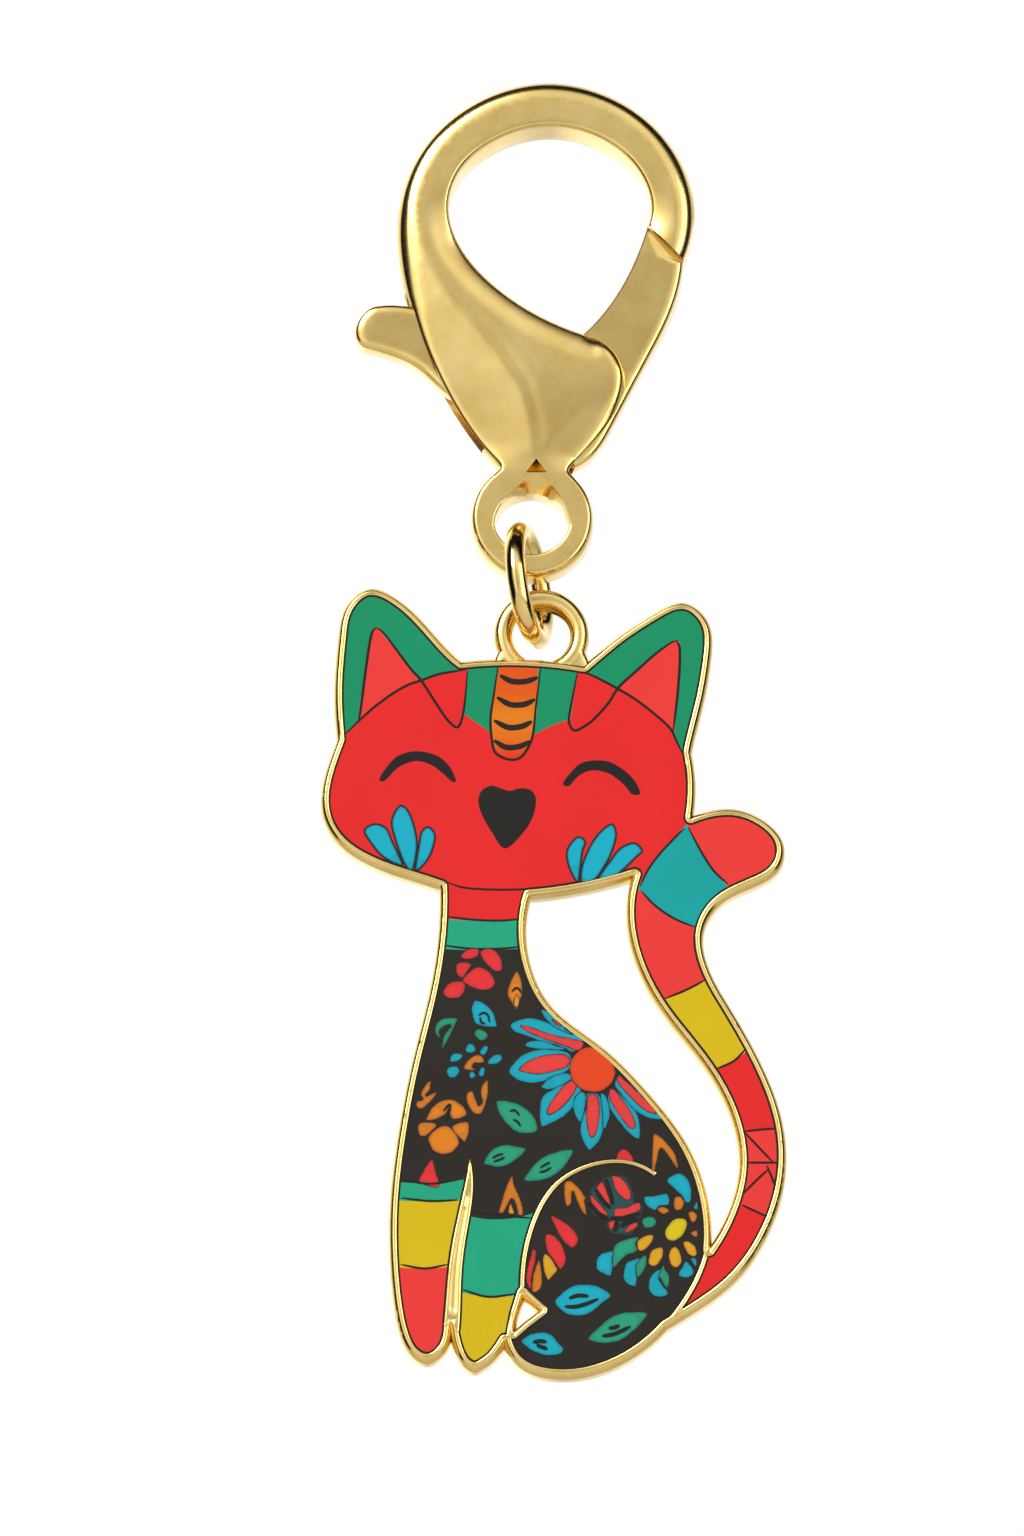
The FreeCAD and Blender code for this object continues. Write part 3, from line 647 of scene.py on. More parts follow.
def crisp(piece, angle):
    """Smooth shading with hard edges where faces meet at more than the angle, in degrees."""
    mesh = piece.data
    shape = bmesh.new()
    shape.from_mesh(mesh)
    for face in shape.faces:
        face.smooth = True
    for edge in shape.edges:
        edge.smooth = not (len(edge.link_faces) == 2 and edge.calc_face_angle(0) > math.radians(angle))
    shape.to_mesh(mesh)
    shape.free()


def clasp_casting():
    """Hook, two cheeks and eye in one casting, with the gate's room cut through the middle."""
    cheeks = facing_outline("clasp_body", CLASP_FRONT)
    eye = [circle(EYE_MIDDLE, EYE_RADIUS, 90)]
    whole = joined_outline([[np.array(loop) for loop in cheeks], eye])
    whole = [loop for loop in whole if abs(signed_area(loop)) > 2]
    outline = [evened(soften(loop), 0.3) for loop in whole if signed_area(loop) > 0]
    loops = outline + [eye_hole_loop()]
    groups = edge_groups(loops)

    def front(spots, gap):
        return CLASP_FRONT + clasp_front(spots, groups)

    body = casting("clasp_casting", loops, front, lambda spots, gap: -front(spots, gap), gold,
                   (0.06, 0.125, 0.2, 0.3, 0.45, 0.7, 1.1), 0.36, wall=CLASP_WALL, swell=wall_swell)
    merged(body, prism("gate_room", np.array(SLOT_ROOM), -SLOT_HALF, SLOT_HALF), "DIFFERENCE")
    merged(body, funnel(), "DIFFERENCE")
    merged(body, dimple(), "DIFFERENCE")
    crisp(body, 38)
    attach(body, "clasp")
    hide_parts("clasp_body")
    return body


def soften(loop):
    """Fillets the corners where the eye's ring meets the neck."""
    points = evened(loop, 0.25)
    near = (np.abs(points[:, 1] + 27.1) < 1.3)[:, None]
    for _ in range(14):
        middle = (np.roll(points, 1, axis=0) + np.roll(points, -1, axis=0)) / 2
        points = np.where(near, points * 0.4 + middle * 0.6, points)
    return points


def gate_casting():
    """The gate arm with its thumb lever, in one casting."""
    levels = (GATE_FRONT, GATE_HEAD_FRONT)
    faces = [[np.array(loop) for loop in facing_outline("gate", level)] for level in levels]
    loops = [evened(loop, 0.3) for loop in joined_outline(faces)]
    groups = edge_groups(loops)
    back_edges = groups["outer"] + groups["lobe"]

    def front(spots, gap):
        """Thin at the pivot, and nearly as thick as the hook where it meets the hook's end.

        The growth starts inside the slot, so there the gate sinks into both cheeks."""
        bevel = rounding(distance_to(spots, back_edges), 0.6, 0.45)
        edge = np.minimum(distance_to(spots, back_edges), distance_to(spots, groups["hook"]))
        grown = np.clip((spots[:, 1] - GATE_THICKENS_FROM) / GATE_THICKENS_OVER, 0, 1) ** 0.8
        return GATE_FRONT - GATE_TIP_EXTRA * grown + bevel + chamfer(edge, 0.1, 0.1)

    gate = casting("gate_casting", loops, front, lambda spots, gap: -front(spots, gap), gold,
                   (0.05, 0.11, 0.2, 0.36, 0.72), 0.45, smooth_angle=38)
    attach(gate, "clasp_gate")
    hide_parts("gate")
    return gate


# ---- jump ring -----------------------------------------------------------------
RING_WIRE_RADIUS = 0.775
RING_MEAN_RADIUS = 4.09
RING_LEAN = 6               # degrees about Y
RING_TWIST = 14             # degrees about Z
RING_SPLIT_HALF = 0.6       # degrees, half of the gap between the wire's ends
RING_SPLIT_AT = 35          # degrees up from the ring's rearmost point
WIRE_FLATTING = 0.035       # share of the wire's radius lost on its six shallow flats


def ring_wire():
    """Round wire drawn with shallow flats along it, bent to a ring with a fine split at the back."""
    low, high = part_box("jump_ring")
    middle = (low + high) / 2
    wire = RING_WIRE_RADIUS * MM
    radius = RING_MEAN_RADIUS * MM
    lean = math.radians(RING_LEAN)
    twist = math.radians(RING_TWIST)
    split = math.radians(RING_SPLIT_HALF)
    turns, sides = 120, 30
    vertices = []
    faces = []
    for i in range(turns + 1):
        around = split + (2 * math.pi - 2 * split) * i / turns + math.radians(RING_SPLIT_AT)
        out = Vector((0, math.cos(around), math.sin(around)))
        for k in range(sides):
            angle = 2 * math.pi * k / sides
            flat = 1 - WIRE_FLATTING * (1 - math.cos(6 * angle)) / 2
            across = out * math.cos(angle) + Vector((1, 0, 0)) * math.sin(angle)
            vertices.append(out * radius + across * wire * flat)
        if i:
            here, before = i * sides, (i - 1) * sides
            faces += wall_strip(list(range(before, before + sides)), list(range(here, here + sides)))
    faces.append(tuple(range(sides)))
    faces.append(tuple(range(len(vertices) - 1, len(vertices) - sides - 1, -1)))
    turn = Matrix.Rotation(-twist, 3, "Z") @ Matrix.Rotation(-lean, 3, "Y")
    placed = [(turn @ v + middle) / MM for v in vertices]
    ring = piece_from("jump_ring_wire", placed, faces, bright_gold, smooth_angle=40)
    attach(ring, "ring")
    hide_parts("jump_ring")
    return ring


# ---- charm casting -------------------------------------------------------------
CHARM_FRONT = -1.3
POCKET_FLOOR = -0.7
OUTER_FLANK = 0.15          # the rim's crest is cut at 45 degrees this far in from its outer side
INNER_FLANK = 0.08
WEB_GROOVE = 0.22           # the legs' web falls away this far from the enamel on each side
BAIL_MIDDLE = np.array((0.1, -39.68))
BAIL_RADIUS = 3.6
BAIL_HOLE = 2.15
BAIL_WIRE = (BAIL_RADIUS - BAIL_HOLE) / 2
BAIL_HALF_DEPTH = 1.2
FOOT_FRONT = -1.12          # front face of the bail's feet
BACK_ROUND = 0.36           # width of the rounded edge behind
WALL_BULGE = ((0.1, 0.13), (0.35, 0.2), (0.65, 0.2), (0.88, 0.1))


def like(loop, others):
    """Whether one of the other loops runs round the same area as this one."""
    low, high = np.min(loop, axis=0), np.max(loop, axis=0)
    for other in others:
        same_low = np.allclose(low, np.min(other, axis=0), atol=0.1)
        if same_low and np.allclose(high, np.max(other, axis=0), atol=0.1):
            return True
    return False


def bail():
    """The hanging loop: a rounded bar round the hole, with feet that flare into the head."""
    turns, sides = 96, 24
    vertices = []
    faces = []
    mean = (BAIL_RADIUS + BAIL_HOLE) / 2
    for i in range(turns):
        around = 2 * math.pi * i / turns
        x, z = math.cos(around), math.sin(around)
        for k in range(sides):
            angle = 2 * math.pi * k / sides
            across = BAIL_WIRE * math.copysign(abs(math.cos(angle)) ** 0.8, math.cos(angle))
            deep = BAIL_HALF_DEPTH * math.copysign(abs(math.sin(angle)) ** 0.7, math.sin(angle))
            reach = mean + across
            vertices.append((BAIL_MIDDLE[0] + x * reach, deep, BAIL_MIDDLE[1] + z * reach))
    for i in range(turns):
        here = list(range(i * sides, (i + 1) * sides))
        ahead = list(range(((i + 1) % turns) * sides, ((i + 1) % turns + 1) * sides))
        faces += wall_strip(here, ahead)
    return piece_from("bail_loop", vertices, faces, gold)


def bail_foot(side):
    """One flared foot, from the loop's flank out to the top of the head."""
    outline = [(1.6, -2.2), (2.85, -0.5), (3.25, -1.2), (3.5, -1.8), (3.65, -2.3), (3.9, -2.65), (4.3, -2.95),
               (4.4, -3.6), (1.2, -3.6), (1.0, -2.9)]
    points = [(BAIL_MIDDLE[0] + side * x, BAIL_MIDDLE[1] + z) for x, z in outline]
    if signed_area(points) < 0:
        points = points[::-1]

    def face(spots, gap):
        return FOOT_FRONT + rounding(gap, 0.5, 0.5)

    return casting("bail_foot", [evened(points, 0.25)], face, lambda spots, gap: -face(spots, gap), gold,
                   (0.1, 0.25, 0.45), 0.4)


def rim_edges():
    """The edges of the rim's face: all of them, those that run through to the back, and the pockets'."""
    rim = [evened(loop, 0.28) for loop in facing_outline("charm_plate", CHARM_FRONT)]
    behind = facing_outline("charm_plate", -CHARM_FRONT)
    outside = [loop for loop in rim if like(loop, behind)]
    pockets = [loop for loop in rim if not like(loop, behind)]
    return rim, outside, pockets


def charm_casting():
    """The cat's casting: rim and thin walls in front, pocket floors, bulged side, rounded back and bail."""
    rim, outside, pockets = rim_edges()
    spots, _, triangles, rings = tiled(rim, (INNER_FLANK, OUTER_FLANK, WEB_GROOVE, 0.36), 0.3)
    from_outside = distance_to(spots, outside)
    from_pocket = distance_to(spots, pockets)
    y = CHARM_FRONT + chamfer(from_outside, OUTER_FLANK, 0.15) + chamfer(from_pocket, INNER_FLANK, 0.05)
    web = (from_outside > 0.7) & (spots[:, 1] < BAIL_MIDDLE[1] - 40) & (spots[:, 0] < -4)
    y += np.where(web, 0.6 * np.clip(from_pocket - WEB_GROOVE, 0, 0.3), 0)
    vertices = [(p[0], level, p[1]) for p, level in zip(spots, y)]
    faces = [tuple(t) for t in triangles]
    for ring, loop in zip(rings, rim):
        if any(loop is pocket for pocket in pockets):
            first = len(vertices)
            vertices += [(p[0], POCKET_FLOOR, p[1]) for p in spots[ring]]
            faces += wall_strip(ring, list(range(first, len(vertices))))
    for pocket in pockets:
        floor_spots, _, floor_triangles, _ = tiled([pocket[::-1]], (0.3,), 3.0)
        first = len(vertices)
        vertices += [(p[0], POCKET_FLOOR, p[1]) for p in floor_spots]
        faces += [tuple(i + first for i in t) for t in floor_triangles]
    back_spots, back_gap, back_triangles, back_rings = tiled(outside, (0.06, 0.14, 0.24, BACK_ROUND), 1.2)
    y_back = -CHARM_FRONT - rounding(back_gap, BACK_ROUND, 0.3)
    first = len(vertices)
    vertices += [(p[0], level, p[1]) for p, level in zip(back_spots, y_back)]
    faces += [tuple(i + first for i in reversed(t)) for t in back_triangles]
    front_rings = [ring for ring, loop in zip(rings, rim) if any(loop is o for o in outside)]
    for ring, back_ring in zip(front_rings, back_rings):
        outline = spots[ring]
        above = ring
        for share, reach in WALL_BULGE:
            moved = moved_out(outline, reach)
            level = y[ring] * (1 - share) + y_back[back_ring] * share
            start = len(vertices)
            vertices += [(p[0], depth, p[1]) for p, depth in zip(moved, level)]
            below = list(range(start, len(vertices)))
            faces += wall_strip(above, below)
            above = below
        faces += wall_strip(above, [i + first for i in back_ring])
    tray = piece_from("charm_casting", vertices, faces, gold)
    loop = bail()
    merged(loop, bail_foot(1), "UNION")
    merged(loop, bail_foot(-1), "UNION")
    merged(tray, loop, "UNION")
    crisp(tray, 50)
    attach(tray, "charm")
    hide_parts("charm_plate")
    return tray


# ---- printed decoration and painted shade --------------------------------------
# Drawn in mm: x from the clasp's middle line, z from the middle of the bail's hole.
ENAMEL_TOP = -1.2
PRINT_BEDDED = 0.01         # mm of each print below the enamel's surface
PRINT_LIFT = 0.014          # mm that the first print of a kind stands proud
PRINT_STEP = 0.0006         # each later print lies this much above the one before
RIM_SHADE_WIDTH = 0.15              # width of the painted shade line along the inside of the rim
RIM_SHADE_OVERLAP = 0.03      # mm by which the painted shade line runs under the metal
RIM_SHADE_LIFT = 0.011        # mm that it stands above the enamel

RED_PETALS = [
    [(-5.97, -25.17), (-5.61, -24.74), (-4.88, -24.54), (-4.58, -24.69), (-4.66, -25.13), (-5.2, -25.42),
     (-5.77, -25.37)],
    [(-4.47, -24.86), (-4.01, -24.56), (-3.41, -24.69), (-2.97, -25.25), (-2.8, -25.93), (-2.97, -26.35),
     (-3.41, -26.32), (-3.9, -25.93), (-4.3, -25.42)],
    [(-6.29, -26.27), (-6.23, -25.76), (-5.61, -25.64), (-5.12, -25.81), (-5.32, -26.22), (-5.8, -26.86),
     (-6.18, -26.61)],
    [(-5.8, -27.03), (-5.28, -26.35), (-4.55, -26.01), (-3.82, -26.35), (-3.36, -27.12), (-3.57, -27.63),
     (-4.22, -27.85), (-4.96, -27.68), (-5.53, -27.37)],
    [(-7.24, -27.88), (-6.83, -27.29), (-6.02, -27.08), (-5.61, -27.34), (-5.69, -27.96), (-6.1, -28.42),
     (-6.83, -28.42), (-7.21, -28.18)],
    [(-8.09, -40.94), (-7.81, -41.78), (-7.52, -42.97), (-8.05, -43.11), (-9.03, -42.67), (-8.79, -41.95)],
    [(5.72, -41.07), (5.8, -40.51), (6.1, -40.14), (6.54, -40.26), (6.91, -40.77), (6.95, -41.14),
     (6.46, -41.19)],
    [(0.79, -45.32), (1.36, -45.51), (2.18, -46.08), (2.73, -46.71), (2.84, -47.28), (2.52, -47.78),
     (2.18, -47.71), (1.64, -47.14), (1.09, -46.15)],
    [(0.37, -47.42), (0.41, -46.86), (0.65, -46.71), (1.23, -47), (1.7, -47.71), (1.96, -48.56),
     (1.84, -49.12), (1.5, -49.48), (1.09, -48.91), (0.55, -48.13)],
    [(-0.98, -49.41), (-0.75, -48.56), (-0.55, -47.85), (-0.3, -48.13), (-0.34, -48.84), (-0.61, -49.98),
     (-0.68, -51.11), (-0.93, -50.68), (-1.06, -50.12)],
]
BLUE_LEAVES = [
    [(-4.79, -28.59), (-5.09, -28.98), (-5.12, -29.58), (-4.92, -30.34), (-4.47, -30.59), (-3.29, -30.68),
     (-3.33, -30.08), (-3.57, -29.41), (-4.06, -28.9)],
    [(-5.61, -32.37), (-5.28, -31.95), (-4.88, -32.12), (-4.83, -32.54), (-5.2, -32.71), (-5.53, -32.63)],
    [(-4.5, -32.54), (-4.22, -32.15), (-3.9, -32.15), (-3.9, -32.54), (-4.22, -32.88), (-4.47, -32.76)],
    [(-3.9, -33.31), (-3.49, -32.88), (-2.92, -32.83), (-2.84, -33.22), (-3.24, -33.56), (-3.85, -33.58)],
    [(-6.75, -33.05), (-6.42, -32.71), (-5.8, -32.8), (-5.85, -33.14), (-6.26, -33.39), (-6.67, -33.39)],
    [(-7.01, -34.15), (-6.78, -33.78), (-6.26, -33.73), (-5.98, -34.12), (-6.34, -34.58), (-6.78, -34.63)],
    [(-5.32, -34.41), (-5.12, -34.07), (-4.88, -34.24), (-4.83, -34.53), (-5.15, -34.7)],
    [(-4.63, -34.24), (-4.39, -33.81), (-4.11, -33.9), (-4.17, -34.41), (-4.47, -34.58)],
    [(7.75, -44.16), (7.84, -43.81), (8.59, -43.74), (9.41, -43.59), (9.68, -44.02), (9.55, -44.52),
     (8.93, -44.59), (8.59, -44.9), (7.98, -44.59)],
    [(9.48, -42.67), (9.75, -42.25), (10.43, -42.01), (11.05, -42.46), (11.32, -43.31), (11.25, -44.16),
     (10.91, -44.3), (10.5, -43.74), (9.95, -43.17)],
    [(11.45, -44.73), (11.59, -44.3), (11.77, -44.23), (11.77, -44.8)],
    [(4.16, -49.05), (4.36, -48.42), (4.91, -48.1), (5.45, -48.06), (5.43, -48.7), (5.32, -49.95),
     (4.64, -49.76), (4.23, -49.48)],
    [(6.2, -49.83), (6.41, -48.98), (7.09, -48.67), (7.5, -48.56), (7.16, -49.27), (7.25, -50.12),
     (7.12, -50.76), (6.55, -50.61), (6.25, -50.26)],
    [(8.07, -50.83), (8.25, -49.98), (8.8, -49.48), (9, -49.55), (8.86, -50.12), (9.14, -50.68),
     (9.48, -51.11), (9.48, -51.46), (8.86, -51.61), (8.32, -51.39)],
    [(10.3, -49.83), (10.57, -49.27), (10.91, -48.84), (11.39, -49.34), (11.43, -49.83), (11.05, -50.12),
     (10.5, -50.05)],
    [(11.18, -48.56), (11.66, -48.67), (11.66, -49.34), (11.43, -49.05)],
    [(1.09, -52.03), (1.64, -51.25), (2.59, -50.68), (3.55, -50.61), (4.5, -50.83), (5.29, -51.49),
     (4.64, -52.1), (3.68, -52.88), (2.86, -53.05), (1.91, -52.88)],
    [(-1.39, -55.01), (-0.82, -54.51), (0, -54.3), (0.75, -54.44), (1.36, -55.08), (1.77, -55.65),
     (1.36, -56.05), (0.55, -56.14), (-0.41, -55.86), (-0.95, -55.51)],
]
SURROUND_PETALS = [
    [(-2.23, -30.63), (-1.86, -30.22), (-0.88, -29.95), (0.26, -30.17), (1.24, -30.59), (2.22, -30.9),
     (2.95, -31.27), (3.2, -31.78), (2.54, -32.63), (1.24, -32.12), (-0.07, -31.75), (-1.37, -31.27),
     (-1.86, -31.1)],
    [(-1.12, -32.03), (-0.72, -31.75), (0.26, -31.75), (1.24, -32.12), (2.05, -32.37), (1.57, -32.49),
     (0.1, -32.42), (-0.88, -32.29)],
    [(-2.35, -34.07), (-1.7, -33.14), (-0.72, -32.54), (0.59, -32.37), (2.05, -32.63), (2.38, -33.31),
     (2.22, -33.98), (0.91, -34.66), (-0.39, -35.04), (-1.37, -34.92), (-2.02, -34.58)],
    [(0.1, -35.26), (0.75, -34.58), (1.73, -34.24), (2.22, -34.32), (2.38, -34.83), (1.57, -35.34),
     (0.59, -35.54), (0.18, -35.43)],
    [(0.18, -38.43), (-0.03, -37.88), (-0.03, -36.87), (0.18, -36.02), (0.91, -35.51), (1.89, -35),
     (2.54, -34.66), (3.11, -35.51), (2.71, -36.53), (2.05, -37.38), (1.24, -37.97)],
    [(3.03, -35.68), (3.44, -36.02), (3.36, -37.04), (3.11, -38.02), (2.79, -37.88), (2.46, -37.04),
     (2.54, -36.19)],
    [(3.68, -40.26), (3.28, -39.75), (3, -38.9), (3.03, -38.05), (3.36, -37.04), (3.52, -35.85),
     (4.42, -35.93), (4.66, -37.21), (4.74, -38.56), (4.5, -39.41), (4.01, -40)],
    [(4.5, -35.85), (4.91, -36.02), (5.2, -36.87), (5.2, -37.71), (4.91, -38.53), (4.66, -38.39),
     (4.63, -37.21)],
    [(7.27, -39.38), (6.62, -38.9), (5.64, -37.71), (5.15, -36.87), (5.07, -35.93), (5.56, -35.51),
     (6.46, -36.36), (7.27, -37.38), (7.48, -38.22), (7.48, -39.16)],
    [(5.56, -35.14), (5.8, -34.41), (6.21, -34.58), (7.35, -35.68), (8.66, -36.95), (9.15, -37.75),
     (8.49, -37.85), (7.6, -37.54), (6.78, -36.87), (5.97, -35.85)],
    [(0.07, -29.32), (0.51, -29.41), (1.08, -29.95), (1.81, -30.59), (1.89, -30.8), (2.54, -31.27),
     (2.05, -31.19), (0.91, -30.59), (0.18, -29.74)],
]
CORAL_PETALS = [
    [(-1.48, -30.54), (-0.72, -30.68), (0.91, -31.27), (2.38, -31.58), (3.11, -31.78), (3.28, -32.08),
     (2.79, -32.54), (1.89, -32.2), (0.75, -31.78), (-0.55, -31.27), (-1.29, -30.85)],
    [(-1.61, -33.95), (-0.88, -33.31), (0.26, -32.88), (1.57, -32.76), (2.18, -33.05), (2.14, -33.64),
     (1.57, -33.98), (-0.07, -34.36), (-1.21, -34.19)],
    [(2.38, -34.8), (2.79, -35), (2.54, -35.85), (1.73, -36.87), (0.91, -37.46), (0.51, -37.46),
     (0.59, -36.87), (1.24, -35.85), (1.89, -35.09)],
    [(3.68, -35.88), (4.26, -36.02), (4.47, -36.87), (4.42, -37.88), (4.17, -38.99), (3.85, -39.27),
     (3.6, -38.9), (3.44, -37.88), (3.46, -36.7)],
    [(5.15, -35.59), (5.56, -35.51), (6.13, -36.27), (6.86, -37.38), (7.14, -38.22), (7.08, -38.56),
     (6.62, -38.48), (5.8, -37.38), (5.23, -36.36)],
    [(5.8, -34.49), (6.21, -34.66), (7.11, -35.54), (8.17, -36.61), (8.74, -37.34), (8.49, -37.43),
     (7.76, -37.12), (6.78, -36.19), (5.8, -35)],
    [(0.83, -30.05), (1.21, -30.22), (1.65, -30.56), (1.48, -30.63), (1.08, -30.42)],
    [(3.75, -43.52), (4.09, -43.95), (4.77, -44.73), (5.05, -45.08), (4.98, -45.37), (4.5, -45.22),
     (4.02, -44.73), (3.79, -44.16)],
    [(4.23, -43.1), (4.57, -42.67), (4.77, -42.81), (5.05, -43.59), (5.25, -44.3), (5.11, -44.52),
     (4.64, -44.02), (4.3, -43.45)],
    [(5.39, -42.25), (6, -42.32), (6.48, -42.81), (6.79, -43.52), (6.75, -43.99), (6.34, -44.09),
     (5.8, -43.59), (5.45, -42.88)],
    [(5.52, -45.08), (5.59, -44.73), (6.41, -44.66), (7.23, -44.3), (7.5, -44.37), (7.47, -44.87),
     (6.95, -45.15), (6, -45.41), (5.56, -45.44)],
    [(5.05, -45.86), (5.45, -45.65), (5.66, -45.65), (5.45, -46.29), (5.18, -46.36)],
    [(6.34, -46.64), (6.41, -46.29), (6.82, -45.93), (7.23, -45.83), (7.3, -46.15), (6.82, -46.5)],
]
GREEN_LEAVES = [
    [(-4.92, -31.14), (-4.63, -30.8), (-4.06, -31.02), (-3.9, -31.44), (-4.39, -31.78), (-4.79, -31.47)],
    [(-6.18, -30), (-6.99, -29.95), (-7.65, -30.25), (-7.89, -30.85), (-7.76, -31.36), (-7.4, -31.53),
     (-7.53, -31.02), (-7.08, -30.59), (-6.67, -30.59), (-7.16, -31.27), (-7.4, -32.29), (-7.27, -32.42),
     (-6.75, -31.44), (-6.34, -30.51)],
    [(-3.29, -36.49), (-2.67, -36.36), (-1.7, -36.61), (-0.88, -37.12), (-0.31, -37.88), (-0.2, -38.73),
     (-0.88, -38.95), (-1.78, -38.82), (-2.51, -38.22), (-3.08, -37.38)],
    [(-4.22, -41.28), (-3.98, -40.6), (-3.33, -40), (-2.51, -39.8), (-1.7, -39.92), (-1.04, -40.17),
     (-1.53, -40.77), (-2.35, -41.36), (-3.16, -41.56), (-3.82, -41.44)],
    [(-1.21, -42.55), (-0.8, -41.78), (-0.07, -40.94), (0.91, -40.43), (2.38, -40.17), (2.22, -40.94),
     (1.48, -41.87), (0.59, -42.46), (-0.39, -42.67)],
    [(7.57, -45.65), (7.98, -45.37), (8.52, -45.44), (8.7, -45.86), (8.39, -46.22), (7.77, -46.22)],
    [(5.45, -47.85), (5.86, -47.35), (6.55, -47.07), (7.43, -46.93), (7.16, -47.42), (7.23, -48.06),
     (6.41, -48.42), (5.59, -49.27), (5.35, -48.98)],
    [(7.16, -48.98), (7.5, -48.56), (7.91, -48.34), (7.98, -48.98), (7.7, -49.69), (7.3, -50.12),
     (7.09, -49.55)],
    [(8.93, -49.55), (9.2, -49.05), (9.34, -49.41), (9.68, -50.12), (9.48, -50.97), (9, -50.26),
     (8.8, -49.98)],
    [(3.55, -54.87), (4.23, -54.02), (5.32, -53.1), (6.41, -52.77), (7.98, -52.81), (7.64, -53.52),
     (6.82, -54.37), (5.86, -55.01), (4.77, -55.19)],
]
ORANGE_LEAVES = [
    [(-1.74, -26.32), (-1.37, -27.12), (-1.32, -28.05), (-1.57, -28.9), (-1.73, -29.32), (-2.1, -28.9),
     (-2.45, -28.13), (-2.27, -27.2)],
    [(-5.74, -33.85), (-5.45, -33.31), (-4.88, -32.85), (-4.39, -32.88), (-4.14, -33.31), (-4.39, -33.51),
     (-4.88, -33.48), (-5.04, -33.81), (-4.63, -33.95), (-5.04, -34.07), (-5.53, -34.02)],
    [(-8.14, -34.83), (-8.54, -35.09), (-8.95, -35.85), (-8.79, -36.27), (-9.2, -36.44), (-9.28, -36.78),
     (-8.95, -37.04), (-8.46, -36.78), (-7.65, -35.76), (-8.05, -35.82), (-8.54, -36.02), (-8.22, -35.51)],
    [(-5.53, -36.36), (-5.45, -35.76), (-5.04, -35.68), (-4.79, -36.27), (-4.6, -36.78), (-4.34, -36.44),
     (-4.47, -35.68), (-4.22, -35), (-3.9, -34.8), (-3.85, -35.51), (-3.98, -36.36), (-4.3, -37.29),
     (-4.79, -37.46), (-5.2, -37.12)],
    [(-8.54, -37.8), (-8.05, -36.87), (-7.32, -36.36), (-6.51, -36.32), (-5.77, -36.78), (-5.45, -37.38),
     (-5.77, -37.71), (-6.51, -37.85), (-6.78, -37.46), (-6.83, -37.04), (-7.08, -37.46), (-7.73, -37.85),
     (-8.38, -37.97)],
    [(-9.16, -38.56), (-8.95, -38.1), (-8.05, -38.05), (-7.7, -38.31), (-8.05, -38.73), (-8.54, -39.16),
     (-9, -39.12)],
    [(-8.38, -39.24), (-7.89, -38.65), (-7.24, -38.31), (-6.59, -38.53), (-6.07, -39.41), (-6.1, -39.92),
     (-6.75, -40.51), (-7.57, -40.51), (-8.14, -40.09)],
    [(-6.62, -38.48), (-5.77, -38.02), (-5.32, -38.14), (-5.28, -38.82), (-5.61, -39.63), (-5.85, -39.49)],
    [(8.49, -38.95), (9.07, -39.24), (9.72, -39.92), (10.12, -40.6), (10.34, -41.53), (10.08, -41.53),
     (9.72, -40.94), (9.07, -40.09), (8.82, -40.77), (8.58, -41.78), (8.33, -41.7), (8.33, -40.77),
     (8.38, -39.75)],
    [(-2.11, -42.18), (-1.91, -42.88), (-1.5, -43.88), (-1.23, -45.15), (-1.64, -45.27), (-1.84, -44.44),
     (-2.15, -44.02), (-2.45, -44.59), (-2.73, -45.08), (-3.11, -45.08), (-2.93, -44.3), (-2.59, -43.17)],
    [(1.84, -42.71), (2.32, -42.6), (2.86, -43.1), (3.27, -43.66), (3.57, -44.16), (3.34, -44.09),
     (3.48, -45.27), (3.14, -45.01), (2.73, -44.16), (2.45, -43.45), (2.39, -43.88), (2.32, -44.44),
     (1.98, -44.59), (1.8, -44.02), (1.75, -43.31)],
    [(2.63, -45.79), (2.93, -45.93), (3.07, -46.22), (2.8, -46.03)],
    [(8.73, -44.8), (9.14, -44.56), (9.61, -44.8), (9.55, -45.08), (9.07, -45.18)],
    [(9.95, -44.44), (10.06, -43.91), (10.5, -43.81), (10.77, -44.23), (10.66, -44.73), (10.3, -44.94),
     (10.02, -44.8)],
    [(11.05, -45.15), (11.39, -44.94), (11.73, -45.3), (11.59, -45.79), (11.25, -45.79)],
    [(11.18, -46.64), (11.59, -46.43), (11.75, -46.5), (11.75, -46.93), (11.52, -46.97)],
    [(-0.55, -49.98), (-0.27, -48.98), (-0.03, -48.7), (0.14, -49.69), (0.14, -50.68), (-0.2, -51.18),
     (-0.61, -51.18)],
]
GOLDEN_PETALS = [
    [(10.66, -47.42), (11.05, -47.28), (11.59, -47.71), (11.73, -48.27), (11.45, -48.49), (10.98, -48.2)],
    [(9.61, -48.13), (10.02, -47.68), (10.36, -47.92), (10.6, -48.7), (10.36, -49.27), (9.95, -49.27),
     (9.65, -48.91)],
    [(8.07, -48.7), (8.32, -47.99), (8.93, -47.73), (9.2, -47.92), (9.14, -48.56), (8.66, -49.2),
     (8.18, -49.12)],
    [(7.25, -47.85), (7.25, -47.28), (7.77, -46.86), (8.39, -46.78), (8.45, -47.14), (7.98, -47.85),
     (7.5, -48.06)],
    [(0.18, -48.84), (0.27, -48.27), (0.68, -48.42), (1.3, -49.41), (0.95, -49.98), (0.61, -50.3),
     (0.34, -49.83)],
    [(-2.21, -44.3), (-2.05, -44.59), (-1.94, -45.15), (-2.39, -45.13), (-2.35, -44.59)],
    [(-1.74, -28.13), (-1.53, -28.56), (-1.57, -28.98), (-1.76, -29.2), (-1.99, -28.9), (-1.94, -28.42)],
]
YELLOW_HEART = [
    [(9.3, -46.64), (9.55, -46), (10.16, -45.51), (10.84, -45.58), (10.98, -46.15), (10.64, -46.86),
     (10.02, -47.28), (9.48, -47.14)],
]
